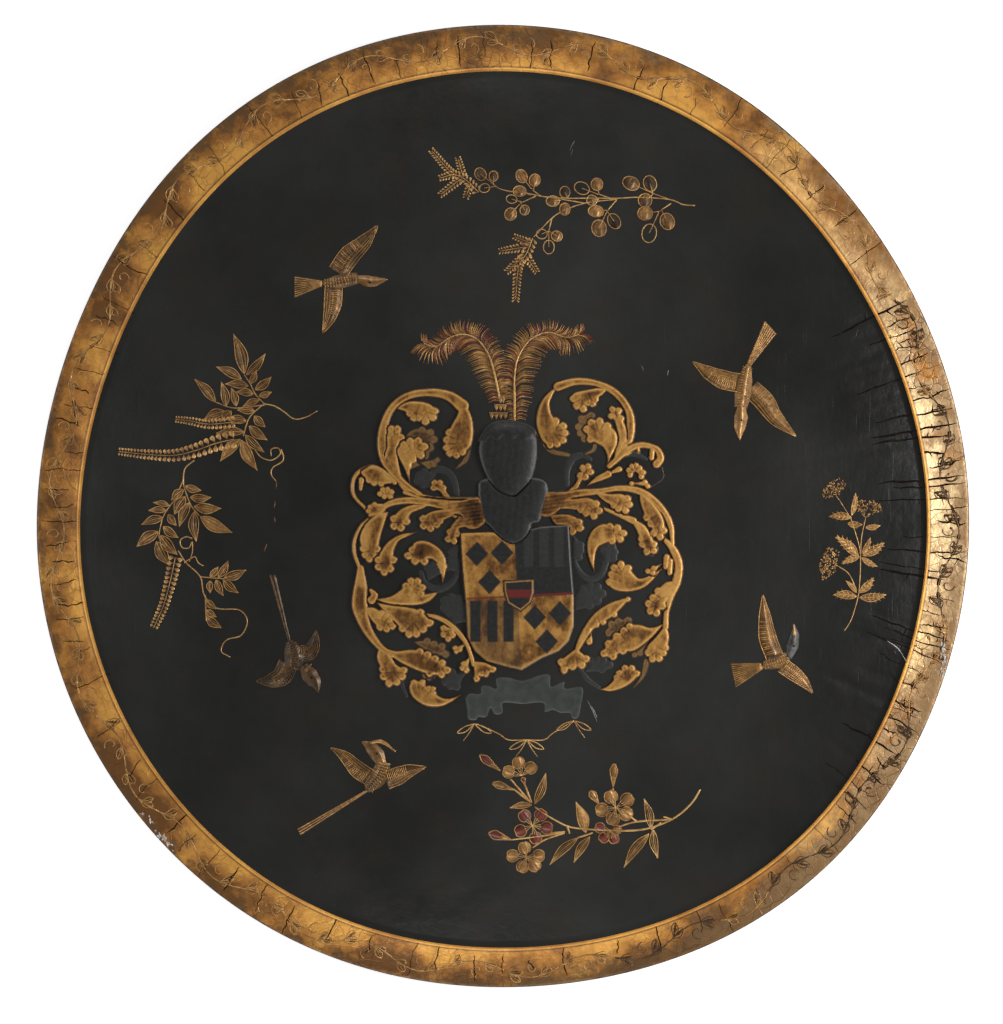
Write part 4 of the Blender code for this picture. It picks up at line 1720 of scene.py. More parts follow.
RIGHT_LEAVES = (Leaf((572, 534), (), (581, 541, 583, 551, 578, 560), (572, 560), 3.6, Coat.BLACK),
    Leaf((603, 562), (), (598, 547, 605, 540, 613, 543, 617, 552, 614, 561), (), 3.8, Coat.BLACK),
    Leaf((574, 609), (573, 596), (579, 585, 589, 581, 599, 583, 605, 592, 600, 602, 589, 608), (),
        4.4, Coat.BLACK),
    Leaf((584, 670), (), (586, 658, 595, 655, 605, 657, 612, 664, 603, 671), (), 4.0, Coat.BLACK),
    Leaf((648, 533), (), (640, 543, 642, 552, 651, 556, 657, 549), (), 3.6, Coat.BLACK),
    Leaf((597, 440), (), (583, 443, 576, 436, 573, 426, 579, 415, 592, 412), (), coat=Coat.BROWN),
    Leaf((632, 632), (), (604, 634, 606, 622, 616, 616, 630, 617), (), coat=Coat.BROWN),
    Leaf((646, 640), (), (640, 655, 630, 655), (), 3.4, coat=Coat.BROWN),
    Leaf((557, 386), (547, 393, 540, 402, 536, 414, 536, 428, 541, 441),
        (549, 449, 557, 448, 564, 444, 567, 436, 566, 428, 559, 422),
        (551, 414, 549, 404, 552, 396)),
    Leaf((607, 389), (597, 388, 585, 390, 573, 393),
        (568, 399, 572, 408, 580, 413, 587, 407, 594, 407, 598, 400), (602, 395)),
    Leaf((611, 462), (614, 449, 616, 435, 613, 422), (608, 413, 610, 406, 618, 407, 621, 415),
        (625, 428, 625, 441, 619, 453), 3.6),
    Leaf((602, 472), (606, 459, 602, 448, 594, 443),
        (585, 439, 582, 427, 588, 419, 598, 417, 608, 422), (615, 432, 616, 444, 609, 459)),
    Leaf((634, 472), (), (626, 477, 624, 470, 628, 464, 635, 462, 641, 466, 645, 473, 642, 479), (),
        3.4),
    Leaf((636, 485), (), (627, 483, 646, 480, 649, 487), (), 3.0),
    Leaf((562, 493), (573, 484), (577, 472, 582, 464, 589, 463, 593, 470, 588, 477),
        (581, 481, 576, 489), 3.8),
    Leaf((556, 498), (573, 498, 588, 497), (599, 502, 602, 511, 596, 518, 587, 516, 578, 513),
        (567, 509, 558, 508)),
    Leaf((590, 489), (608, 493, 620, 493), (630, 497, 632, 505, 627, 513, 618, 512, 610, 508),
        (601, 500)),
    Leaf((548, 514), (562, 513, 573, 515), (582, 521, 583, 529, 573, 535), (566, 526, 554, 524)),
    Leaf((638, 489), (638, 500), (641, 516, 648, 527, 652, 537, 660, 540, 665, 533),
        (662, 518, 652, 502)),
    Leaf((626, 516), (633, 527), (636, 539, 639, 547, 646, 555, 655, 553, 656, 545),
        (650, 535, 642, 523), 3.8),
    Leaf((593, 572), (587, 556, 586, 541, 591, 529, 601, 523),
        (610, 522, 619, 524, 626, 531, 623, 538, 615, 540), (606, 542, 597, 547, 594, 557)),
    Leaf((662, 566), (651, 580, 640, 588, 625, 591, 611, 588),
        (604, 582, 606, 573, 609, 565, 617, 560, 626, 563), (631, 571, 638, 577, 648, 574)),
    Leaf((661, 562), (), (652, 564, 643, 571, 651, 575), (), 3.0),
    Leaf((677, 579), (664, 581), (655, 586, 647, 596, 643, 604, 646, 613, 654, 616, 662, 609),
        (666, 600, 672, 592)),
    Leaf((664, 621), (650, 626, 638, 623), (628, 621, 620, 626, 611, 634, 603, 643, 599, 654, 609,
        658, 620, 653), (632, 650, 643, 643, 653, 634)),
    Leaf((664, 622), (668, 635), (668, 647, 664, 655, 658, 661, 649, 661, 643, 653),
        (646, 644, 655, 634)),
    Leaf((571, 656), (577, 637, 585, 622, 595, 610, 610, 601),
        (629, 596, 616, 612, 605, 620, 596, 627), (589, 633, 578, 650), 3.2),
    Leaf((575, 646), (), (556, 660, 560, 671, 571, 669, 585, 665, 589, 656), ()),
    Leaf((597, 688), (610, 690, 623, 686, 633, 679),
        (639, 671, 633, 664, 625, 663, 617, 668, 612, 675), (606, 684), 3.8))


@dataclass
class Arms:
    """The helm, bust and quartered escutcheon, raised in black lacquer and partly gilt.

    The charges are plain lozenges and bars.
    """

    window: tuple[float, float, float, float] = (453.0, 418.0, 581.0, 677.0)
    escutcheon: Path = (460, 532, 462, 566, 465, 599, 467, 636, 474, 650, 486, 660, 504, 665, 521,
        669, 541, 657, 558, 650, 568, 640, 573, 625, 573, 597, 570, 560, 568, 524, 540, 526, 513,
        532, 488, 531)
    inner_shield: Path = (503, 580, 504, 592, 507, 602, 520, 610, 530, 602, 533, 592, 533, 578)
    bust: Path = (478, 492, 480, 508, 483, 519, 490, 526, 499, 536, 512, 543, 523, 538, 529, 530,
        531, 523, 538, 521, 542, 511, 547, 489, 536, 478, 484, 479)
    helm: Path = (480, 441, 479, 452, 483, 468, 492, 485, 502, 493, 513, 496, 521, 490, 530, 479,
        535, 462, 536, 446, 534, 434, 526, 427, 513, 424, 499, 424, 488, 429)
    crown: Path = (477, 441, 484, 443, 490, 437, 497, 441, 504, 435, 511, 440, 518, 436, 524, 440,
        534, 437, 535, 430, 526, 424, 513, 421, 499, 421, 487, 426)
    lozenges: Path = (476.5, 553, 501.5, 552, 489, 581, 534, 616, 559, 612, 546, 640)
    dark_bars: tuple[float, ...] = (475.0, 492.0, 508.0)
    grey_bars: tuple[float, ...] = (528.0, 543.0, 558.0)

    def build(self, face: Face, photo: Photo, finish: Material) -> Shape:
        """Model the arms as one piece.

        Args:
            face: The shield's face.
            photo: Scale and middle of the photo.
            finish: Material of its lacquer.

        Returns:
            The piece.
        """
        relief = Relief("arms", face, photo, self.window)
        self.lay_escutcheon(relief)
        parts = (self.bust, 0.0026, 15.0), (self.helm, 0.0040, 20.0), (self.crown, 0.0008, 5.0)
        for outline, rise, edge in parts:
            rounded = smooth_path(outline + outline[:2], 3.0)
            distance = outline_distance(relief.x, relief.y, rounded)
            keep = 1.0 if outline is self.crown else 0.1
            relief.lay(EVERYWHERE, distance, rise, edge=edge, gilt=0, keep=keep)
            lit = 0.25 + 0.75 * np.clip(np.abs(relief.x - 510) / 26, 0, 1)
            shine = 0.15 if outline is self.crown else 0.55
            relief.dye("grey", shine * lit * np.exp(-((distance + 0.9) / 0.7) ** 2), 1)
            ribs = 0.016 * (1 + np.sin(relief.x * 0.9 + np.sin(relief.y * 0.11) * 1.2))
            relief.dye("grey", ribs * np.clip(-distance / 8, 0, 1), 1)
        return relief.build(finish, Slot.COLOURS)

    def lay_escutcheon(self, relief: Relief) -> None:
        """Lay the escutcheon with its quarters and the small shield in its middle.

        Args:
            relief: Relief that it is laid on.
        """
        x, y = relief.x, relief.y
        distance = outline_distance(x, y, pairs(self.escutcheon))
        relief.lay(EVERYWHERE, distance, 0.0017, edge=1.6)
        upright = np.interp(y, (543, 669), (514, 521))
        level = np.interp(x, (465, 571), (599, 593.5))
        right = np.clip(x - upright + 0.5, 0, 1)
        lower = np.clip(y - level + 0.5, 0, 1)
        relief.dye("gilt", right * (1 - lower), 0)
        relief.dye("gilt", (1 - right) * lower, 0.55)
        for cx, cy in pairs(self.lozenges):
            across = np.abs(x - cx) / 11.5 + np.abs(y - cy) / 12.5
            relief.dye("gilt", (1 - across) * 9 + 0.5, 0)
        for bar in self.dark_bars:
            aside = np.maximum(np.abs(x - bar) - 5.2, np.abs(y - 620) - 20.5)
            relief.dye("gilt", 0.5 - aside, 0)
        for bar in self.grey_bars:
            aside = np.maximum(np.abs(x - bar) - 4.6, np.abs(y - 546) - 20)
            relief.dye("grey", 0.09 * np.clip(0.5 - aside, 0, 1), 1)
        relief.dye("red", np.clip(1.6 - np.abs(y - level + 1.2), 0, 1) * (distance < -1), 0.8)
        # Painted highlight: a grey line along the escutcheon's edges on its right side.
        right_edge_highlight = np.exp(-((distance + 1.0) / 0.6) ** 2)
        relief.dye("grey", 0.7 * right_edge_highlight * (x > 521), 1)
        small = outline_distance(x, y, pairs(self.inner_shield))
        relief.lay(EVERYWHERE, small, 0.0008, edge=1.4, gilt=0, keep=1.0)
        relief.dye("gilt", 1.3 - np.abs(small + 1.0), 0.9)
        bar = np.maximum(np.abs(y - 592.5) - 4.0, small + 2.6)
        relief.dye("red", 0.5 - bar, 0.8)


@dataclass(frozen=True)
class RaisedLacquer(Finish):
    """Lacquer on the raised work, its colours, wear and painted light and shade read from the piece's own marks."""

    name: str = "raised_lacquer"
    roughness: float = 0.46
    specular: float = 0.3
    black: Colour = (0.013, 0.0128, 0.0125)
    grey: Colour = (0.16, 0.16, 0.155)
    red: Colour = (0.16, 0.018, 0.014)
    umber: Colour = (0.022, 0.011, 0.005)
    brown: Colour = (0.160, 0.070, 0.020)
    gold: Colour = (0.420, 0.205, 0.048)
    bright: Colour = (0.62, 0.345, 0.095)

    def build(self, effects: Effects) -> Material:
        """Make the material.

        Args:
            effects: Effects that the finishes share.

        Returns:
            The material.
        """
        material, graph, shader = self.start()
        place = graph.place()
        inset, groove = graph.attribute("inset"), graph.attribute("groove")
        gilt = graph.attribute("gilt")
        flecks = graph.noise(place, 420.0, 3.0, 0.7)
        worn = graph.group(effects.mottle, place=graph.stretched(place, (1.0, 0.55, 1.0)),
            scale=85.0, amount=0.40).outputs[0]
        # Along each shape's edge the shade is dark at the very edge, a painted shadow line, and bright just inside it,
        # a painted highlight on the rounded edge; further in it is duller.
        inner = graph.span(inset, 1.6, 4.5)
        shade = graph.span(inset, 0.2, 1.5, 0.12, 0.96)
        shade = graph.maths('SUBTRACT', shade, graph.maths('MULTIPLY', inner, 0.16))
        tone = graph.span(graph.noise(place, 48.0, 2.0), 0.35, 0.65, -0.20, 0.12)
        shade = graph.maths('ADD', shade, graph.maths('MULTIPLY', tone, inner))
        wear = graph.maths('MULTIPLY', graph.maths('MULTIPLY', worn, inner), 0.55)
        shade = graph.maths('SUBTRACT', shade, wear)
        # The groove mark darkens to brown: painted shade in the grooves between lobes, and the darker brown round each
        # trunk.
        shade = graph.maths('SUBTRACT', shade, graph.maths('MULTIPLY', groove, 0.42))
        shade = graph.maths('ADD', shade, graph.span(flecks, 0.3, 0.7, -0.12, 0.12))
        colour = graph.ramp(shade, (0.0, self.umber), (0.42, self.brown), (0.74, self.gold),
            (1.0, self.bright))
        dark = graph.mix(graph.span(flecks, 0.35, 0.7, 0.0, 0.10), self.black, self.grey)
        colour = graph.mix(gilt, dark, colour)
        colour = graph.mix(graph.attribute("grey"), colour, self.grey)
        colour = graph.mix(graph.attribute("red"), colour, self.red)
        rough = graph.span(flecks, 0.3, 0.7, self.roughness + 0.1, self.roughness - 0.04)
        grain = graph.bump(graph.noise(place, 150.0, 4.0), 0.0003)
        self.dress(graph, shader, base_color=colour, roughness=rough,
            metallic=graph.maths('MULTIPLY', gilt, 0.3), normal=graph.bump(flecks, 0.0001, grain))
        return material


def turned(direction: Spot | Array, angle: float) -> Array:
    """A direction in the photo, turned by an angle in radians.

    Args:
        direction: The direction.
        angle: Clockwise turn in the photo.

    Returns:
        The turned direction.
    """
    cos, sin = math.cos(angle), math.sin(angle)
    x, y = direction
    return np.array([x * cos - y * sin, x * sin + y * cos])


def headings(line: Array) -> Array:
    """Unit directions along a line, one for each of its points."""
    ahead = np.gradient(line, axis=0)
    return ahead / np.maximum(np.linalg.norm(ahead, axis=1, keepdims=True), 1e-9)


@dataclass(frozen=True)
class Bird:
    """A bird in flight, drawn in gold lines over a thin gold wash.

    Attributes:
        body: Pixels from the root of its tail to its neck.
        head: Pixels from its neck to the end of its bill.
        tail: Pixels of the corners of its tail.
        wings: For each wing, the pixels from its shoulder to its tip, and its width there.
        wash: Brightness of the wash.
        line: Brightness of the lines.
        head_paint: The lacquer of its head.
    """

    body: Path
    head: Path
    tail: Path
    wings: tuple[tuple[Path, float], ...]
    width: float
    wash: float = 0.40
    line: float = 0.85
    crest: Path = ()
    head_paint: Paint = Paint.GOLD

    def draw(self, sheet: Drawing) -> None:
        """Draw the bird.

        Args:
            sheet: Drawing that the strokes go to.
        """
        self.draw_tail(sheet)
        for path, width in self.wings:
            self.draw_wing(sheet, path, width)
        wide = self.width
        sheet.stroke(self.body, (wide * 0.4, wide * 1.1, wide * 1.2, wide * 0.9), shade=self.wash,
            layer=2, height=0.00005)
        self.scale_body(sheet)
        gilt = self.head_paint is Paint.GOLD
        sheet.stroke(self.head, (wide * 0.5, wide, wide * 0.8, 0.8), self.head_paint,
            self.wash + (0.15 if gilt else -0.2), layer=3, height=FLAT)
        if not gilt:
            sheet.stroke(self.head[-4:], (wide * 0.3, 0.8), shade=self.line, layer=4)
        eye = pairs(self.head)[1] + 0.5
        sheet.stroke((eye, eye + 1.2), (1.6, 1.6), Paint.INK, 0.0, layer=5)
        if self.crest:
            sheet.stroke(self.crest, (3.0, 4.0, 1.0), shade=self.line, layer=4)

    def draw_tail(self, sheet: Drawing) -> None:
        """Long feathers that spread from the root of the tail.

        Args:
            sheet: Drawing that the strokes go to.
        """
        corners, root = pairs(self.tail), pairs(self.body)[0]
        spread = np.linalg.norm(corners[-1] - corners[0])
        if spread < 8:
            sheet.stroke((root, corners.mean(axis=0)), (5.5, 4.0), shade=self.wash + 0.1,
                height=WASH)
        count = max(2, int(spread / 2.2) + 1)
        for share in np.linspace(0, 1, count):
            tip = corners[0] + (corners[-1] - corners[0]) * share
            start = root + (share - 0.5) * (corners[-1] - corners[0]) * 0.22
            width = max(2.6, spread / count * 1.6)
            sheet.stroke((start, tip), (width * 0.7, width), shade=self.wash, layer=0)
            sheet.stroke((start, tip), (0.7, 0.8), shade=self.line, layer=2)

    def draw_wing(self, sheet: Drawing, path: Path, width: float) -> None:
        """A wing: a wash, its edges, barred coverts and long flight feathers.

        Args:
            sheet: Drawing that the strokes go to.
            path: Pixels from the shoulder to the tip.
            width: Its width at the shoulder.
        """
        widths = np.array([1.0, 1.02, 0.68, 0.05]) * width
        sheet.stroke(path, widths, shade=self.wash, layer=1, height=WASH)
        line = smooth_path(path, 2.0)
        half = read_along(widths, len(line))[:, None] / 2
        heading = headings(line)
        aside = sideways(heading)
        for side in (-1, 1):
            edge = line + aside * half * side * 0.95
            sheet.stroke(edge[::2], (0.9, 0.8), shade=self.line, layer=3)
        for share in np.arange(0.10, 0.62, 0.045):
            at = int(share * (len(line) - 1))
            spot, reach = line[at], half[at] * aside[at]
            bar = (spot - reach * 0.9, spot - heading[at] * 0.8, spot + reach * 0.25)
            sheet.stroke(bar, (0.6, 0.9, 0.5), shade=self.line, layer=3)
        for lane in (0.05, 0.35, 0.65):
            feather = line + aside * half * lane
            start = int(len(line) * 0.12)
            sheet.stroke(feather[start::3], (0.6, 0.8, 0.4), shade=self.line * 0.9, layer=3)

    def scale_body(self, sheet: Drawing) -> None:
        """Small curved feathers over the body.

        Args:
            sheet: Drawing that the strokes go to.
        """
        line = smooth_path(self.body, 3.0)
        heading = headings(line)
        for index in range(1, len(line) - 1):
            aside = sideways(heading[index]) * self.width * 0.36
            for lane in (-0.7, 0.0, 0.7):
                spot = line[index] + aside * lane
                scale = (spot - aside * 0.3, spot + heading[index], spot + aside * 0.3)
                sheet.stroke(scale, (0.5, 0.8, 0.5), shade=self.line, layer=4)


BIRDS = (Bird(body=(322, 284, 336, 283, 350, 280, 358, 279),
        head=(356, 279, 369, 282, 377, 282, 388, 280), tail=(295, 278, 295, 297), width=12,
        wings=(((338, 273, 349, 257, 364, 243, 378, 226), 21),
        ((334, 288, 333, 305, 329, 320, 323, 334), 18))),
    Bird(body=(747, 365, 743, 380, 741, 395, 739, 408),
        head=(740, 405, 739, 419, 738, 428, 738, 440), tail=(764, 322, 774, 333), width=14,
        wash=0.62, wings=(((737, 383, 722, 380, 707, 373, 691, 362), 19),
        ((749, 389, 762, 401, 774, 418, 794, 436), 20))),
    Bird(body=(760, 665, 770, 662, 780, 659, 787, 656),
        head=(787, 657, 791, 644, 793, 634, 792, 623), tail=(729, 663, 734, 685), width=12,
        wash=0.54, head_paint=Paint.GREY, wings=(((773, 656, 766, 637, 763, 616, 761, 594), 18),
        ((780, 664, 793, 673, 803, 682, 811, 692), 15))),
    Bird(body=(290, 640, 293, 648, 295, 656, 293, 668),
        head=(304, 664, 311, 675, 316, 682, 319, 691), tail=(271, 574, 275, 574), width=17,
        wash=0.16, line=0.46, crest=(306, 670, 309, 666, 312, 662),
        wings=(((301, 652, 309, 651, 314, 644, 317, 629), 16),
        ((289, 662, 283, 674, 272, 679, 257, 680), 20))),
    Bird(body=(367, 789, 373, 782, 380, 773, 384, 760),
        head=(383, 763, 376, 751, 369, 744, 362, 740), tail=(298, 828, 300, 833), width=15,
        crest=(370, 741, 382, 740, 396, 750), wings=(((372, 777, 358, 768, 345, 755, 331, 746), 17),
        ((386, 779, 398, 774, 409, 769, 426, 765), 18))))


@dataclass(frozen=True)
class Plume:
    """An ostrich plume, with gold and red barbs along a curling quill.

    Attributes:
        side: Which side the long barbs hang on, 1 or -1.
    """

    quill: Path
    side: int
    barbs: int = 84
    long_barb: float = 26.0
    short_barb: float = 17.0

    def draw(self, sheet: Drawing, draw: np.random.Generator) -> None:
        """Draw the plume.

        Args:
            sheet: Drawing that the strokes go to.
            draw: Source of the random numbers.
        """
        line = smooth_path(self.quill, 1.5)
        heading = headings(line)
        sheet.stroke(line[::4], (8, 20, 24, 20, 8), Paint.INK, 0.4, height=WASH)
        for barb in range(self.barbs):
            share = (barb + 0.5) / self.barbs
            at = int(share * (len(line) - 1))
            fullness = min(1.0, 0.45 + share * 1.6) * (1 - 0.35 * share ** 3)
            for side, length in ((self.side, self.long_barb), (-self.side, self.short_barb)):
                reach = length * fullness * draw.uniform(0.85, 1.1)
                out = turned(heading[at], side * math.radians(60 - 30 * share))
                droop = turned(heading[at], side * math.radians(116 - 40 * share))
                spots = (line[at], line[at] + out * reach * 0.46,
                    line[at] + out * reach * 0.62 + droop * reach * 0.46)
                paint = Paint.RED if draw.random() < 0.06 + 0.18 * share else Paint.GOLD
                tone = draw.uniform(0.55, 1.0)
                sheet.stroke(spots, (0.9, 1.7, 0.4), paint, (0.55 * tone, 0.95 * tone, 0.8 * tone),
                    layer=1 + barb % 3)
        sheet.stroke(line[::3], (2.2, 1.6, 0.8), shade=0.95, layer=4)


PLUMES = (Plume((500, 402, 495, 378, 489, 357, 478, 341, 464, 335, 450, 338, 436, 347, 424, 344),
        side=-1),
    Plume((514, 421, 514, 396, 514, 376, 518, 357, 530, 340, 548, 333, 566, 338, 581, 334), side=1))


def draw_crest_base(sheet: Drawing) -> None:
    """The stepped and toothed foot that the plumes rise from.

    Args:
        sheet: Drawing that the strokes go to.
    """
    for row, (left, right) in enumerate(((499, 504), (494, 506), (489, 507))):
        y = 397.5 + row * 8
        count = row + 2
        sheet.stroke(((left, y), (right, y)), (2.2, 2.2), shade=0.7, layer=5)
        for tooth in range(count):
            x = left + (right - left) * (tooth + 0.5) / count
            sheet.stroke(((x, y + 1), (x, y + 6)), (4.4, 0.6), shade=0.75, layer=5)


def draw_cord(sheet: Drawing) -> None:
    """The thin gold cord that hangs under the banner in bows.

    Args:
        sheet: Drawing that the strokes go to.
    """
    sheet.stroke(((476, 722), (490, 728), (500, 733), (508, 738), (526, 738), (543, 738),
        (551, 732), (559, 727), (573, 719)), (1.5,), shade=0.95)
    for (x, y), spread in (((474, 722), -1), ((526, 738), 0), ((573, 719), 1)):
        for side in (-1, 1):
            loop = ((x, y), (x + side * 10, y + 3), (x + side * 17, y + 9), (x + side * 9, y + 8),
                (x, y))
            sheet.stroke(loop, (1.4,), shade=0.95)
            if side == spread or spread == 0:
                tail = ((x, y), (x + side * 5, y + 9), (x + side * 11, y + 17))
                sheet.stroke(tail, (1.4, 0.8), shade=0.9)


BANNER = (465, 697, 469, 692, 480, 692, 481, 685, 487, 684, 496, 687, 496, 677, 508, 676, 522, 679,
    541, 673, 549, 674, 550, 685, 563, 680, 564, 687, 581, 686, 580, 703, 577, 716, 571, 716, 569,
    711, 560, 711, 552, 708, 544, 710, 542, 701, 522, 702, 503, 701, 502, 711, 494, 712, 490, 706,
    486, 715, 478, 715, 476, 718, 468, 717, 467, 708)


def build_banner(face: Face, photo: Photo, finish: Material) -> Shape:
    """The bare grey-green banner under the escutcheon, a thin flat coat of paint.

    Args:
        face: The shield's face.
        photo: Scale and middle of the photo.
        finish: Material of its lacquer.

    Returns:
        The piece.
    """
    outline = pairs(BANNER + BANNER[:2])
    low, high = outline.min(axis=0) - 4, outline.max(axis=0) + 4
    relief = Relief("banner", face, photo, (*low, *high))
    distance = outline_distance(relief.x, relief.y, smooth_path(outline, 2.0))
    relief.lay(EVERYWHERE, distance, 0.0002, edge=1.5)
    folds = 0.5 + 0.5 * np.sin(relief.x * 0.45 + np.sin(relief.y * 0.2))
    relief.marks["shade"] = 0.55 + 0.15 * folds + 0.35 * np.exp(-((distance + 1) / 1.2) ** 2)
    return relief.build(finish, Slot.COLOURS)


@dataclass(frozen=True)
class Spray:
    """A spray of a plant, drawn in gold lines and thin washes.

    Attributes:
        twigs: Pixels of its twigs and tendrils.
        twig_width: Width of the twigs in pixels.
        blades: Pointed leaves as (base, tip, width, brightness of the wash).
        toothed: Whether the blades have teeth.
        rounds: Round leaves as (middle, half width, half height, tilt in degrees, wash, stalk
            end); a wash of 0 leaves them open.
        racemes: Rows of buds as (pixels along the row, size of the first and last bud).
        flowers: Open flowers as (middle, tips of the petals, radius of a petal, lacquer).
        buds: Flower buds as (tip, base, width, lacquer).
        umbels: Flat flower heads as (middle, half width, half height, tilt in degrees).
        line: Brightness of the lines.
    """

    twigs: tuple[Path, ...] = ()
    twig_width: float = 1.4
    blades: tuple[tuple[Spot, Spot, float, float], ...] = ()
    toothed: bool = False
    rounds: tuple[tuple[Spot, float, float, float, float, Spot], ...] = ()
    racemes: tuple[tuple[Path, float, float], ...] = ()
    flowers: tuple[tuple[Spot, Path, float, Paint], ...] = ()
    buds: tuple[tuple[Spot, Spot, float, Paint], ...] = ()
    umbels: tuple[tuple[Spot, float, float, float], ...] = ()
    line: float = 0.88

    def draw(self, sheet: Drawing, draw: np.random.Generator) -> None:
        """Draw the whole spray.

        Args:
            sheet: Drawing that the strokes go to.
            draw: Source of the random numbers.
        """
        for twig in self.twigs:
            wide = self.twig_width
            sheet.stroke(twig, (wide, wide * 1.1, wide * 0.8), shade=self.line)
        for draw_one, rows in ((self.draw_blade, self.blades), (self.draw_round, self.rounds),
                (self.draw_raceme, self.racemes), (self.draw_flower, self.flowers),
                (self.draw_bud, self.buds)):
            for row in rows:
                draw_one(sheet, *row)
        for umbel in self.umbels:
            self.draw_umbel(sheet, draw, *umbel)

    def draw_blade(self, sheet: Drawing, base: Spot, tip: Spot, width: float, wash: float) -> None:
        """A pointed leaf with its midrib and veins.

        Args:
            sheet: Drawing that the strokes go to.
            base: Pixel of its foot.
            tip: Pixel of its tip.
            width: Its width in pixels.
            wash: Brightness of its wash.
        """
        base, tip = np.array(base, float), np.array(tip, float)
        ahead = tip - base
        aside = sideways(ahead) / np.linalg.norm(ahead)
        middle = (base + tip) / 2 + aside * np.linalg.norm(ahead) * 0.05
        rib = smooth_path((base, middle, tip), 1.6)
        along = np.linspace(0, 1, len(rib))
        half = np.sin(np.pi * along ** 0.8) ** 1.2 * width / 2
        if wash > 0:
            sheet.stroke(rib, half * 1.9 + 0.2, shade=(wash * 0.75, wash, wash * 1.15), layer=1,
                height=WASH)
        for side in (-1, 1):
            edge = rib + aside * (half * side)[:, None]
            sheet.stroke(edge, (0.8, 0.9, 0.7), shade=self.line, layer=2, spacing=3.0)
            vein = rib + aside * (half * side * 0.45)[:, None]
            sheet.stroke(vein[1:-1], (0.5, 0.6, 0.4), shade=self.line * 0.9, layer=2, spacing=3.0)
            for at in range(2, len(rib) - 3, 3) if self.toothed else ():
                tooth = rib[at] + aside * half[at] * side * 1.35 + ahead * 0.16
                sheet.stroke((rib[at], tooth), (width * 0.35, 0.6), shade=wash, layer=1)
        sheet.stroke(rib[::2], (0.9, 0.5), shade=self.line, layer=3)

    def draw_round(self, sheet: Drawing, middle: Spot, wide: float, high: float, tilt: float,
            wash: float, stalk: Spot) -> None:
        """A round leaf, washed or open, on its stalk.

        Args:
            sheet: Drawing that the strokes go to.
            middle: Pixel of its middle.
            wide: Half its width.
            high: Half its height.
            tilt: Its tilt in degrees.
            wash: Brightness of its wash.
            stalk: Pixel where its stalk ends.
        """
        middle = np.array(middle, float)
        turn = math.radians(tilt)
        angles = np.linspace(0, 2 * math.pi, 15)
        rim = [middle + turned((wide * math.cos(a), high * math.sin(a)), turn) for a in angles]
        sheet.stroke(rim, (1.0,), shade=self.line, layer=2, closed=True)
        axis = turned((0.0, high), turn)
        if wash > 0:
            along = np.linspace(-0.96, 0.96, 9)
            spots = [middle + axis * share for share in along]
            widths = 2 * wide * np.sqrt(1 - along ** 2)
            sheet.stroke(spots, widths, shade=wash, layer=1, height=WASH)
        sheet.stroke((middle, stalk), (0.6, 1.0), shade=self.line, layer=3)

    def draw_raceme(self, sheet: Drawing, path: Path, first: float, last: float) -> None:
        """Two rows of buds along a stalk, smaller towards its end.

        Args:
            sheet: Drawing that the strokes go to.
            path: Pixels along the stalk.
            first: Size of the first buds.
            last: Size of the last buds.
        """
        line = smooth_path(path, 0.5)
        sheet.stroke(path, (1.2, 0.8), shade=self.line)
        heading = headings(line)
        run = np.concatenate([[0], np.cumsum(np.linalg.norm(np.diff(line, axis=0), axis=1))])
        reach = 0.0
        lean, stretch, gap = (78, 1.0, 0.74) if first > 5 else (54, 1.5, 1.05)
        while reach < run[-1]:
            at = int(np.searchsorted(run, reach))
            size = first + (last - first) * reach / run[-1]
            for side in (-1, 1):
                out = turned(heading[at], side * math.radians(lean))
                drop = turned(heading[at], side * math.radians(30))
                length = size * stretch
                spots = (line[at] + out * length * 0.12, line[at] + out * length * 0.62,
                    line[at] + out * length * 0.92 + drop * length * 0.12)
                sheet.stroke(spots, (0.5, size * 0.24, size * 0.52, size * 0.66, size * 0.42),
                    shade=(0.35, 0.8, 1.0), layer=2, spacing=1.2)
            reach += size * gap

    def draw_flower(self, sheet: Drawing, middle: Spot, tips: Path, radius: float,
            paint: Paint) -> None:
        """An open flower: washed petals with bright edges, and its stamens.

        Args:
            sheet: Drawing that the strokes go to.
            middle: Pixel of its middle.
            tips: Middles of its petals.
            radius: Radius of a petal.
            paint: The lacquer.
        """
        middle = np.array(middle, float)
        for tip in pairs(tips):
            out = (tip - middle) / max(np.linalg.norm(tip - middle), 1e-6)
            aside = sideways(out)
            along = np.linspace(-0.95, 0.95, 8)
            spots = [tip + out * radius * share for share in along]
            widths = 1.9 * radius * np.sqrt(1 - along ** 2) * (1 + 0.12 * along)
            sheet.stroke(spots, widths, paint, (0.62, 0.78) if paint is Paint.GOLD else (0.5, 1.0),
                layer=1, height=WASH)
            rim = [tip + (out * math.cos(a) + aside * math.sin(a)) * radius
                * (0.86 if abs(a) < 0.1 else 1.0) for a in np.linspace(-2.6, 2.6, 13)]
            sheet.stroke(rim, (0.7, 1.0, 0.7), shade=0.85, layer=2)
            for swing in (-0.3, 0.0, 0.3):
                end = middle + turned(out, swing) * radius * 1.25
                sheet.stroke((middle, end), (0.5, 0.7), shade=0.95, layer=3)
                sheet.stroke((end, end + out * 0.8), (1.1, 1.1), shade=0.95, layer=4)

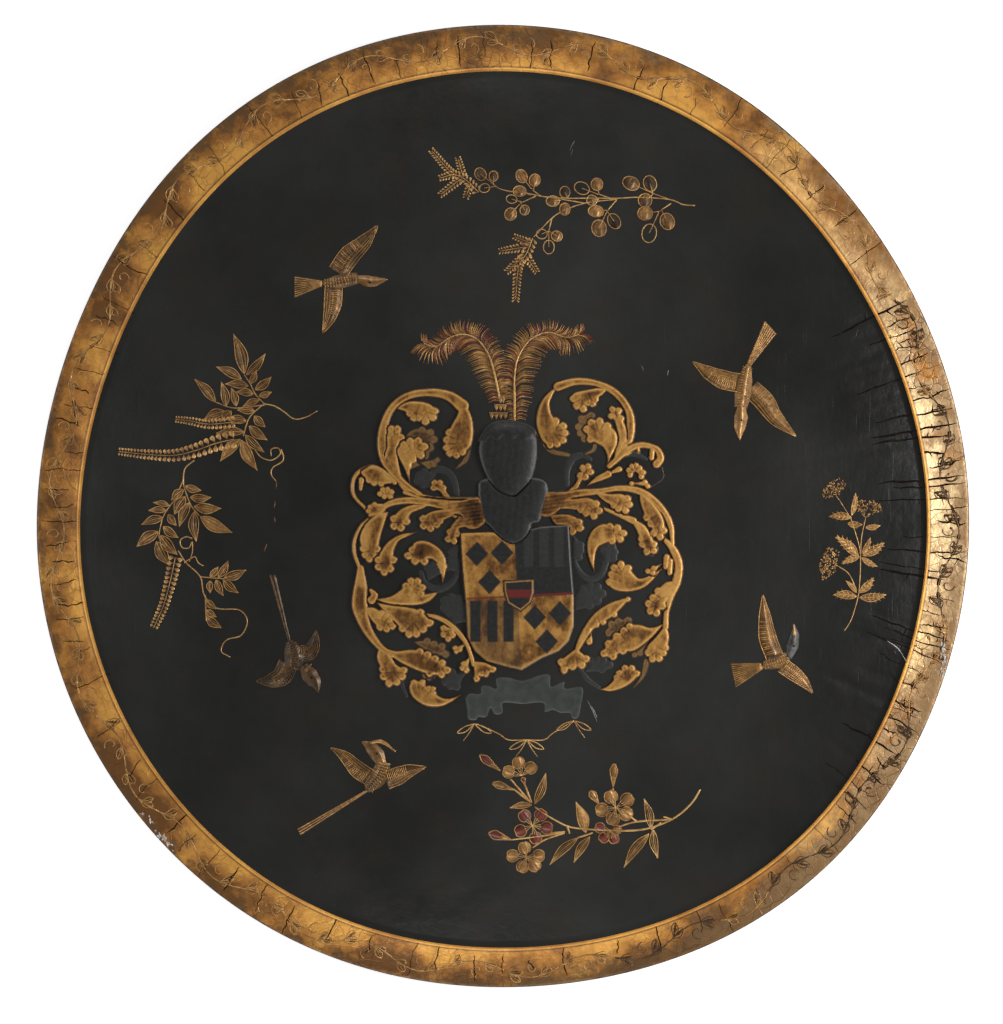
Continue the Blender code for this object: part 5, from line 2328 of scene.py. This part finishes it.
    def draw_bud(self, sheet: Drawing, tip: Spot, base: Spot, width: float, paint: Paint) -> None:
        """A closed bud with its bright calyx.

        Args:
            sheet: Drawing that the strokes go to.
            tip: Pixel of its tip.
            base: Pixel of its foot.
            width: Its width in pixels.
            paint: The lacquer.
        """
        tip, base = np.array(tip, float), np.array(base, float)
        sheet.stroke((tip, base), (0.45 * width, width, width * 0.9, 0.5 * width, 1.4), paint, 0.6,
            layer=1, height=FLAT, spacing=1.5)
        calyx = tip + (base - tip) * 0.55
        sheet.stroke((calyx, base), (width * 0.7, 1.2), shade=0.7, layer=2)
        aside = sideways(base - tip) / np.linalg.norm(tip - base)
        for side in (-1, 1):
            rim = (tip, tip + (base - tip) * 0.25 + aside * side * width * 0.45,
                calyx + aside * side * width * 0.3, base)
            sheet.stroke(rim, (0.9, 0.8), shade=0.85, layer=3)

    def draw_umbel(self, sheet: Drawing, draw: np.random.Generator, middle: Spot, wide: float,
            high: float, tilt: float) -> None:
        """A flat head of tiny flowers.

        Args:
            sheet: Drawing that the strokes go to.
            draw: Source of the random numbers.
            middle: Pixel of its middle.
            wide: Half its width.
            high: Half its height.
            tilt: Its tilt in degrees.
        """
        count = int(wide * high * 1.25)
        radius, angle = np.sqrt(draw.uniform(0, 1, count)), draw.uniform(0, 2 * math.pi, count)
        for share, swing in zip(radius, angle):
            lobed = share * (1 + 0.10 * math.sin(5 * swing))
            out = (wide * lobed * math.cos(swing), high * lobed * math.sin(swing))
            spot = np.array(middle) + turned(out, math.radians(tilt))
            petal = turned((1.0, 0.0), draw.uniform(0, math.pi)) * 0.9
            sheet.stroke((spot - petal, spot + petal), (1.2, 1.8, 1.2),
                shade=draw.uniform(0.3, 1.0), layer=1 + int(share * 2))


TOP_SPRAY = Spray(twigs=((694, 206, 682, 205, 668, 200, 638, 198, 616, 199, 592, 199, 560, 199, 540,
    197, 526, 194, 508, 192, 498, 189, 490, 183), (616, 200, 584, 204, 560, 213, 548, 222, 533,
    238), (584, 204, 572, 202, 560, 200), (540, 197, 532, 191), (535, 197, 520, 204),
    (609, 199, 598, 195), (616, 200, 606, 212), (668, 200, 652, 194), (670, 204, 658, 212),
    (551, 219, 548, 232)), rounds=(((480, 175), 5.4, 6.6, -30, 0.30, (492, 184)),
    ((493, 177), 4.4, 5.2, 0, 0.20, (493, 186)), ((484, 189), 5.2, 4.4, -15, 0.0, (496, 187)),
    ((521, 177), 5.4, 6.8, -25, 0.55, (531, 190)), ((534, 181), 5.4, 6.2, 15, 0.66, (533, 191)),
    ((519, 192), 6.4, 5.2, 5, 0.55, (530, 196)), ((511, 200), 5.4, 4.2, 10, 0.0, (521, 203)),
    ((510, 215), 5.8, 6.2, 15, 0.45, (519, 205)), ((524, 211), 4.6, 5.0, 20, 0.45, (520, 204)),
    ((564, 193), 5.0, 5.8, 0, 0.15, (567, 199)), ((552, 202), 6.6, 5.2, 0, 0.45, (560, 201)),
    ((564, 210), 5.2, 6.0, 0, 0.62, (560, 213)), ((581, 189), 7.8, 6.0, 25, 0.0, (597, 195)),
    ((596, 185), 5.8, 6.2, 0, 0.66, (598, 195)), ((591, 201), 5.2, 5.2, 0, 0.40, (598, 200)),
    ((595, 212), 7.6, 5.6, 5, 0.75, (606, 211)), ((598, 229), 7.2, 8.4, -10, 0.45, (606, 212)),
    ((613, 222), 6.0, 8.0, -30, 0.08, (606, 212)), ((630, 184), 8.6, 6.6, 25, 0.40, (652, 194)),
    ((649, 184), 6.4, 8.0, -20, 0.12, (652, 194)), ((644, 201), 6.8, 6.8, 0, 0.40, (652, 195)),
    ((644, 214), 7.4, 6.8, 0, 0.78, (658, 212)), ((666, 222), 7.0, 8.4, -20, 0.55, (660, 210)),
    ((648, 234), 7.2, 9.4, 10, 0.0, (658, 212)), ((541, 235), 5.4, 4.8, 10, 0.0, (548, 232)),
    ((556, 237), 5.6, 5.0, 20, 0.50, (548, 232)), ((548, 248), 5.4, 6.8, 0, 0.0, (548, 232))),
    racemes=(((478, 193, 466, 181, 450, 172, 432, 152), 4.0, 2.6), ((463, 178, 458, 160), 3.4, 2.4),
    ((454, 175, 439, 179), 3.4, 2.4), ((460, 180, 441, 195), 3.6, 2.6),
    ((470, 185, 466, 197), 3.2, 2.6), ((532, 239, 526, 254, 518, 268, 515, 300), 4.4, 2.8),
    ((530, 244, 515, 238), 3.4, 2.4), ((524, 248, 500, 252), 3.8, 2.4),
    ((522, 258, 507, 272), 3.6, 2.6), ((526, 258, 536, 273), 3.6, 2.4)))
UPPER_WISTERIA = Spray(twigs=((265, 404, 256, 394, 251, 384, 245, 375),
    (265, 405, 235, 408, 216, 402), (263, 405, 250, 418, 244, 436), (245, 421, 232, 424),
    (265, 404, 275, 406, 285, 412, 295, 419, 307, 417, 318, 411),
    (256, 450, 262, 457, 272, 460, 281, 454, 279, 448, 272, 449, 272, 456),
    (282, 449, 284, 460, 274, 467, 272, 474, 277, 481)),
    blades=(((245, 374), (234, 334), 12, 0.42), ((247, 375), (266, 354), 8, 0.20),
    ((242, 379), (217, 367), 9, 0.34), ((251, 384), (257, 370), 6, 0.15),
    ((249, 386), (226, 384), 8, 0.34), ((256, 390), (272, 377), 8, 0.30),
    ((254, 394), (237, 392), 7, 0.34), ((260, 396), (272, 392), 6, 0.50),
    ((260, 400), (244, 406), 6, 0.34), ((216, 402), (195, 379), 9, 0.48),
    ((227, 406), (222, 382), 8, 0.10), ((237, 406), (232, 388), 7, 0.34),
    ((225, 411), (205, 419), 9, 0.42), ((232, 411), (222, 421), 8, 0.34),
    ((255, 411), (238, 410), 8, 0.34), ((255, 416), (266, 427), 8, 0.42),
    ((250, 426), (268, 440), 9, 0.48), ((246, 435), (265, 452), 8, 0.0),
    ((242, 440), (258, 470), 11, 0.72), ((241, 439), (221, 461), 10, 0.68),
    ((245, 432), (217, 433), 8, 0.34), ((247, 421), (227, 419), 8, 0.34)),
    racemes=(((235, 422, 210, 424, 192, 421, 176, 419), 6.0, 3.2),
    ((235, 439, 217, 443, 197, 450, 175, 455, 147, 454, 119, 451), 9.0, 3.6)))
LOWER_WISTERIA = Spray(twigs=((195, 460, 186, 468, 184, 480, 186, 490, 192, 505, 200, 515),
    (184, 480, 180, 489), (184, 490, 166, 512, 160, 532, 160, 538),
    (193, 538, 187, 536, 181, 540, 183, 547, 190, 547, 193, 541, 193, 552, 190, 561),
    (185, 562, 191, 558, 196, 556, 199, 562, 204, 565),
    (179, 550, 187, 562, 201, 576, 205, 594, 217, 607, 240, 609, 248, 620, 242, 634, 227, 639, 222,
    650, 231, 656), (201, 576, 225, 578), (206, 594, 207, 620)),
    blades=(((186, 486), (202, 490), 7, 0.45), ((191, 497), (212, 497), 8, 0.50),
    ((195, 506), (222, 508), 10, 0.60), ((201, 516), (233, 532), 12, 0.72),
    ((195, 511), (197, 541), 10, 0.22), ((190, 502), (180, 526), 9, 0.34),
    ((186, 496), (175, 514), 10, 0.34), ((184, 489), (172, 500), 8, 0.45),
    ((170, 505), (154, 502), 5, 0.0), ((167, 510), (149, 510), 6, 0.0),
    ((164, 517), (142, 524), 8, 0.15), ((159, 531), (137, 546), 11, 0.50),
    ((169, 514), (177, 525), 7, 0.30), ((164, 526), (179, 537), 8, 0.34),
    ((161, 535), (178, 554), 11, 0.40), ((157, 541), (171, 565), 12, 0.44),
    ((211, 576), (219, 566), 6, 0.34), ((219, 577), (229, 560), 7, 0.22),
    ((225, 577), (247, 569), 9, 0.34), ((224, 579), (239, 592), 8, 0.15),
    ((217, 579), (224, 595), 7, 0.30), ((211, 580), (211, 592), 6, 0.30),
    ((207, 599), (217, 608), 6, 0.30), ((207, 609), (217, 616), 6, 0.36),
    ((207, 616), (222, 627), 8, 0.42)), racemes=(((176, 557, 171, 580, 164, 605, 154, 627), 7.0,
    4.2),))
BLOSSOM_SPRAY = Spray(twigs=((699, 788, 690, 802, 672, 817, 646, 827, 620, 829, 582, 827, 566, 824,
    547, 814, 534, 805), (670, 818, 636, 820, 618, 825), (566, 824, 569, 832), (672, 818, 662, 815),
    (531, 801, 523, 780), (530, 801, 510, 777), (528, 799, 513, 787), (564, 830, 545, 832),
    (562, 831, 535, 835, 511, 838), (564, 831, 544, 838, 532, 846), (636, 820, 627, 813),
    (650, 828, 660, 821), (612, 786, 612, 796), (577, 836, 592, 831)), twig_width=2.3,
    blades=(((534, 802), (545, 771), 8, 0.25), ((531, 803), (509, 806), 6, 0.50),
    ((585, 831), (575, 800), 11, 0.85), ((577, 836), (549, 863), 8, 0.15),
    ((589, 835), (573, 861), 8, 0.42), ((650, 827), (643, 797), 8, 0.10),
    ((652, 828), (657, 857), 8, 0.06), ((648, 832), (623, 866), 9, 0.50)),
    flowers=(((521, 774), (518, 761, 530, 766, 508, 770), 6.2, Paint.GOLD),
    ((615, 806), (610, 795, 626, 798, 625, 812, 612, 817, 601, 808), 6.8, Paint.GOLD),
    ((532, 824), (524, 814, 540, 813, 546, 826, 535, 836, 520, 829), 6.2, Paint.RED),
    ((526, 855), (524, 846, 538, 854, 534, 864, 522, 865, 512, 854), 6.2, Paint.GOLD),
    ((610, 829), (599, 826, 603, 836, 613, 837), 5.2, Paint.RED),
    ((612, 827), (616, 828), 4.6, Paint.GOLD)), buds=(((479, 753), (500, 769), 8.5, Paint.RED),
    ((492, 781), (514, 788), 8.0, Paint.GOLD), ((488, 831), (511, 838), 10.0, Paint.RED),
    ((613, 762), (612, 785), 8.5, Paint.GOLD), ((589, 789), (598, 802), 8.5, Paint.GOLD),
    ((522, 775), (524, 783), 5.0, Paint.RED)), line=0.95)
UMBEL_PLANT = Spray(twigs=((843, 630, 850, 618, 856, 598, 858, 583, 859, 557, 857, 543, 852, 527,
    849, 518, 838, 500), (859, 555, 860, 537, 864, 517), (855, 589, 847, 573, 836, 565),
    (838, 500, 834, 495), (864, 517, 860, 513), (864, 517, 869, 513), (836, 565, 830, 566)),
    twig_width=1.1, blades=(((850, 517), (827, 516), 7, 0.85), ((850, 515), (854, 492), 5, 0.85),
    ((846, 523), (861, 524), 6, 0.60), ((864, 527), (879, 525), 5, 0.75),
    ((857, 556), (834, 536), 9, 0.80), ((858, 556), (840, 563), 6, 0.85),
    ((861, 553), (869, 537), 5, 0.75), ((861, 555), (883, 542), 8, 0.62),
    ((860, 557), (876, 566), 5, 0.70), ((855, 596), (831, 594), 8, 0.68),
    ((855, 592), (844, 580), 4, 0.60), ((858, 592), (872, 577), 7, 0.75),
    ((858, 597), (885, 594), 8, 0.55)), toothed=True,
    umbels=(((832, 488), 13.5, 7.5, -32), ((867, 507), 13.5, 7.5, 5), ((827, 562), 8.5, 17, 18)))


# Losses to the pale ground as (x, y, lean in radians), and scratches as (x, y, run to the
# right, run down, lacquer, brightness).
LOSSES = ((149, 820, 0.8), (159, 833, 0.9), (169, 845, 0.9), (943, 648, 1.5), (943, 658, 1.4),
    (942, 668, 1.7))
SCRATCHES = ((586, 698, 10, 22, Paint.GREY, 0.7), (590, 704, 6, 12, Paint.GREY, 1.0),
    (574, 141, -5, 10, Paint.GREY, 0.3), (572, 150, -2, 6, Paint.GREY, 0.2),
    (277, 480, 0, 9, Paint.GOLD, 0.35), (276, 500, -1, 8, Paint.GOLD, 0.4),
    (275, 516, 1, 7, Paint.GOLD, 0.35), (268, 543, -3, 8, Paint.GOLD, 0.5),
    (640, 366, 2, 5, Paint.GREY, 0.5), (667, 370, -1, 6, Paint.GREY, 0.5),
    (884, 706, 14, 22, Paint.INK, 0.0), (893, 650, 2, 3, Paint.RED, 0.6))


@dataclass
class Border:
    """The vine drawn on the gilt band, and the cracks and losses that came with age.

    Attributes:
        bends: Bends of the vine round the band.
        middle: Where the vine runs across the band.
        swing: How far it swings to each side.
        leaf: Length of its leaves in pixels.
    """

    face: Face
    photo: Photo
    bends: int = 52
    middle: float = 0.56
    swing: float = 0.20
    leaf: float = 15.0

    def build(self, finishes: dict[Paint, Material], draw: np.random.Generator) -> Shape:
        """Draw the border's lines as one piece.

        Args:
            finishes: The material of each lacquer.
            draw: Source of the random numbers.

        Returns:
            The piece.
        """
        sheet = Drawing("border_lines", self.face, self.photo)
        self.draw_vine(sheet, draw)
        self.draw_cracks(sheet, draw)
        self.draw_wear(sheet, draw)
        return sheet.build(finishes)

    def raised_line(self, sheet: Drawing, places: Array, width: float, gone: float) -> None:
        """A pale ridge between darker edges, both faint where the gilding is gone."""
        sheet.add_line(places, (width * 2.6,), Paint.INK, 0.9 - 0.3 * gone, 0, FLAT)
        sheet.add_line(places, (width,), Paint.GOLD, 0.82 - 0.5 * gone, 1, RIDGE)

    def draw_vine(self, sheet: Drawing, draw: np.random.Generator) -> None:
        """The stem that winds round the band, with a curl and lobed leaves in each bend.

        Args:
            sheet: Drawing that the strokes go to.
            draw: Source of the random numbers.
        """
        period = 2 * math.pi / self.bends * 2
        for bend in range(self.bends):
            start = period / 2 * bend
            gone = 0.9 if math.cos(start + 0.5) > 0.6 and draw.random() < 0.75 else 0.0
            side = 1 if bend % 2 else -1
            turn = start + period / 2 * np.linspace(0, 1, 9)
            wave = self.middle + side * self.swing * np.sin(np.linspace(0, math.pi, 9))
            self.raised_line(sheet, self.face.on_band(turn, wave), 1.4, gone)
            spiral = np.linspace(0.0, 4.6, 13)
            reach = 7.4 - 1.25 * spiral
            heart = self.spot(start + period * 0.27, self.middle - side * 0.03)
            angle = start + side * spiral + (math.pi if side > 0 else 0)
            curl = heart + (np.stack([np.cos(angle), np.sin(angle)], axis=1)
                * (reach * self.photo.pixel)[:, None])
            self.raised_line(sheet, curl, 1.1, gone)
            ahead = start + math.pi / 2
            for share, lean in ((0.06, -0.25), (0.10, -0.9), (0.62, 0.3), (0.66, 0.95)):
                root = self.spot(start + period / 2 * share,
                    self.middle + side * self.swing * math.sin(math.pi * share))
                self.draw_lobe(sheet, root, ahead + side * lean, draw.uniform(0.8, 1.1), gone)

    def draw_lobe(self, sheet: Drawing, root: Array, heading: float, size: float,
            gone: float) -> None:
        """One striped lobe of a leaf: brown, with pale edges that meet at its tip.

        Args:
            sheet: Drawing that the strokes go to.
            root: Place of its foot.
            heading: Its direction in radians.
            size: Its size against the usual one.
            gone: How far its gilding is gone, from 0 to 1.
        """
        along = np.linspace(0, 1, 7)
        out = np.array([math.cos(heading), math.sin(heading)])
        aside = sideways(out)
        reach = self.leaf * size * self.photo.pixel
        half = reach * 0.24 * np.sin(math.pi * along ** 1.5)
        rib = root + out * reach * along[:, None] + aside * (reach * 0.2 * along ** 2)[:, None]
        sheet.add_line(rib, half * 2 / self.photo.pixel, Paint.INK, 1 - 0.3 * gone, 0, FLAT)
        for lane in (-1.0, 0.0, 1.0):
            edge = rib + aside * (half * lane)[:, None]
            self.raised_line(sheet, edge, 0.6 if lane == 0 else 1.0, gone)

    def spot(self, angle: float, across: float) -> Array:
        """One place on the band."""
        return self.face.on_band(np.array(angle), np.array(across))

    def draw_cracks(self, sheet: Drawing, draw: np.random.Generator) -> None:
        """Dark cracks that run in along the creases.

        Args:
            sheet: Drawing that the strokes go to.
            draw: Source of the random numbers.
        """
        for crease in self.face.creases:
            deep = crease.depth > 0.0001
            start, end = draw.uniform(0.45, 1.0), draw.uniform(-0.1, 0.35)
            if deep:
                end = max(-1.1, 0.4 - draw.gamma(1.6, 0.52))
            steps = np.linspace(0, 1, 12)
            wobble = np.cumsum(draw.normal(0, 0.0016, 12))
            turn = crease.angle + crease.lean * steps * 0.3 + wobble
            places = self.face.on_band(turn, start + (end - start) * steps)
            wide = draw.uniform(0.7, 2.7) if deep else draw.uniform(0.5, 1.5)
            sheet.add_line(places, (0.4, wide, wide * 0.6, wide, 0.4), Paint.INK, 0.05, 2, FLAT)
            for branch in (0.3, 0.6):
                if deep and draw.random() < 0.6:
                    root = places[int(branch * 11)]
                    swing = crease.angle + math.pi / 2 * draw.choice((-1, 1))
                    swing += draw.uniform(-0.5, 0.5)
                    ahead = np.array([math.cos(swing), math.sin(swing)])
                    tip = root + ahead * draw.uniform(0.002, 0.006)
                    line = np.linspace(root, tip, 4)
                    sheet.add_line(line, (wide * 0.7, 0.4), Paint.INK, 0.1, 2, FLAT)

    def draw_wear(self, sheet: Drawing, draw: np.random.Generator) -> None:
        """Losses down to the pale ground, and scratches in the black field.

        Args:
            sheet: Drawing that the strokes go to.
            draw: Source of the random numbers.
        """
        sheet.stroke(((886, 640), (897, 648), (905, 660), (912, 668)), (0.4, 1.2, 0.5, 1.0, 0.4),
            Paint.LOSS, (0.1, 0.4, 0.1, 0.3), layer=3, height=FLAT)
        for x, y, lean in LOSSES:
            for _ in range(9):
                turn = lean + draw.normal(0, 0.4)
                spot = np.array([x, y]) + turned(draw.normal(0, (4.5, 1.5)), lean)
                reach = turned((draw.uniform(0.8, 3.0), 0), turn)
                sheet.stroke((spot - reach, spot, spot + reach), (0.4, draw.uniform(0.8, 2.6), 0.4),
                    Paint.LOSS, draw.uniform(0.2, 0.9), layer=3, height=FLAT)
        for x, y, dx, dy, paint, shade in SCRATCHES:
            sheet.stroke(((x, y), (x + dx * 0.5, y + dy * 0.45), (x + dx, y + dy)), (0.4, 1.0, 0.4),
                paint, shade, layer=1, height=FLAT)
        for _ in range(90):
            angle, radius = draw.uniform(0, 2 * math.pi), 430 * math.sqrt(draw.uniform(0, 1))
            x, y = 490 + radius * math.cos(angle), 505 + radius * math.sin(angle)
            lean, reach = draw.normal(0, 3), draw.uniform(2, 14)
            sheet.stroke(((x, y), (x + lean, y + reach)), (0.3, 0.7, 0.3), Paint.GREY,
                draw.uniform(0.05, 0.3), height=WASH)


def write_sizes(cad: tuple, visual: tuple) -> None:
    """Write the boxes of the CAD model and of the visual model, for comparison.

    Args:
        cad: Corners of the CAD model's box.
        visual: Corners of the visual model's box.
    """
    boxes = {"cad": [list(corner) for corner in cad], "visual": [list(corner) for corner in visual]}
    with open("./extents.json", "w", encoding="utf-8") as out:
        json.dump(boxes, out, indent=1)


def report(piece: Shape) -> None:
    """Log a finished piece, with the number of its faces."""
    LOG.info("%s: %d faces", piece.name, len(piece.data.polygons))


def main() -> None:
    """Load the frame, then make every piece, the light and the camera."""
    logging.basicConfig(level=logging.INFO, format="%(message)s")
    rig.load(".")
    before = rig.bounds()
    face = Face()
    photo = Photo.of_frame()
    effects = Effects()
    report(Hide(face).build(BlackLacquer().build(effects), GiltBand().build(effects)))
    raised = RaisedLacquer().build(effects)
    for mantling in (Mantling("left_mantling", LEFT_STEMS, LEFT_LEAVES, (474, 510)),
            Mantling("right_mantling", RIGHT_STEMS, RIGHT_LEAVES, (549, 505))):
        report(mantling.build(face, photo, raised))
    report(Arms().build(face, photo, raised))
    paints = paint_box(effects)
    report(build_banner(face, photo, paints[Paint.GREEN]))
    crest = Drawing("crest_plumes", face, photo)
    draw = np.random.default_rng(5)
    for plume in PLUMES:
        plume.draw(crest, draw)
    draw_crest_base(crest)
    draw_cord(crest)
    report(crest.build(paints))
    birds = Drawing("birds", face, photo)
    for bird in BIRDS:
        bird.draw(birds)
    report(birds.build(paints))
    report(Border(face, photo).build(paints, draw))
    sprays = {"top_spray": TOP_SPRAY, "upper_wisteria": UPPER_WISTERIA,
        "lower_wisteria": LOWER_WISTERIA, "blossom_spray": BLOSSOM_SPRAY,
        "umbel_plant": UMBEL_PLANT}
    for name, spray in sprays.items():
        sheet = Drawing(name, face, photo)
        spray.draw(sheet, draw)
        report(sheet.build(paints))
    Studio(photo).build()
    write_sizes(before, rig.bounds())


if __name__ == "__main__":
    main()
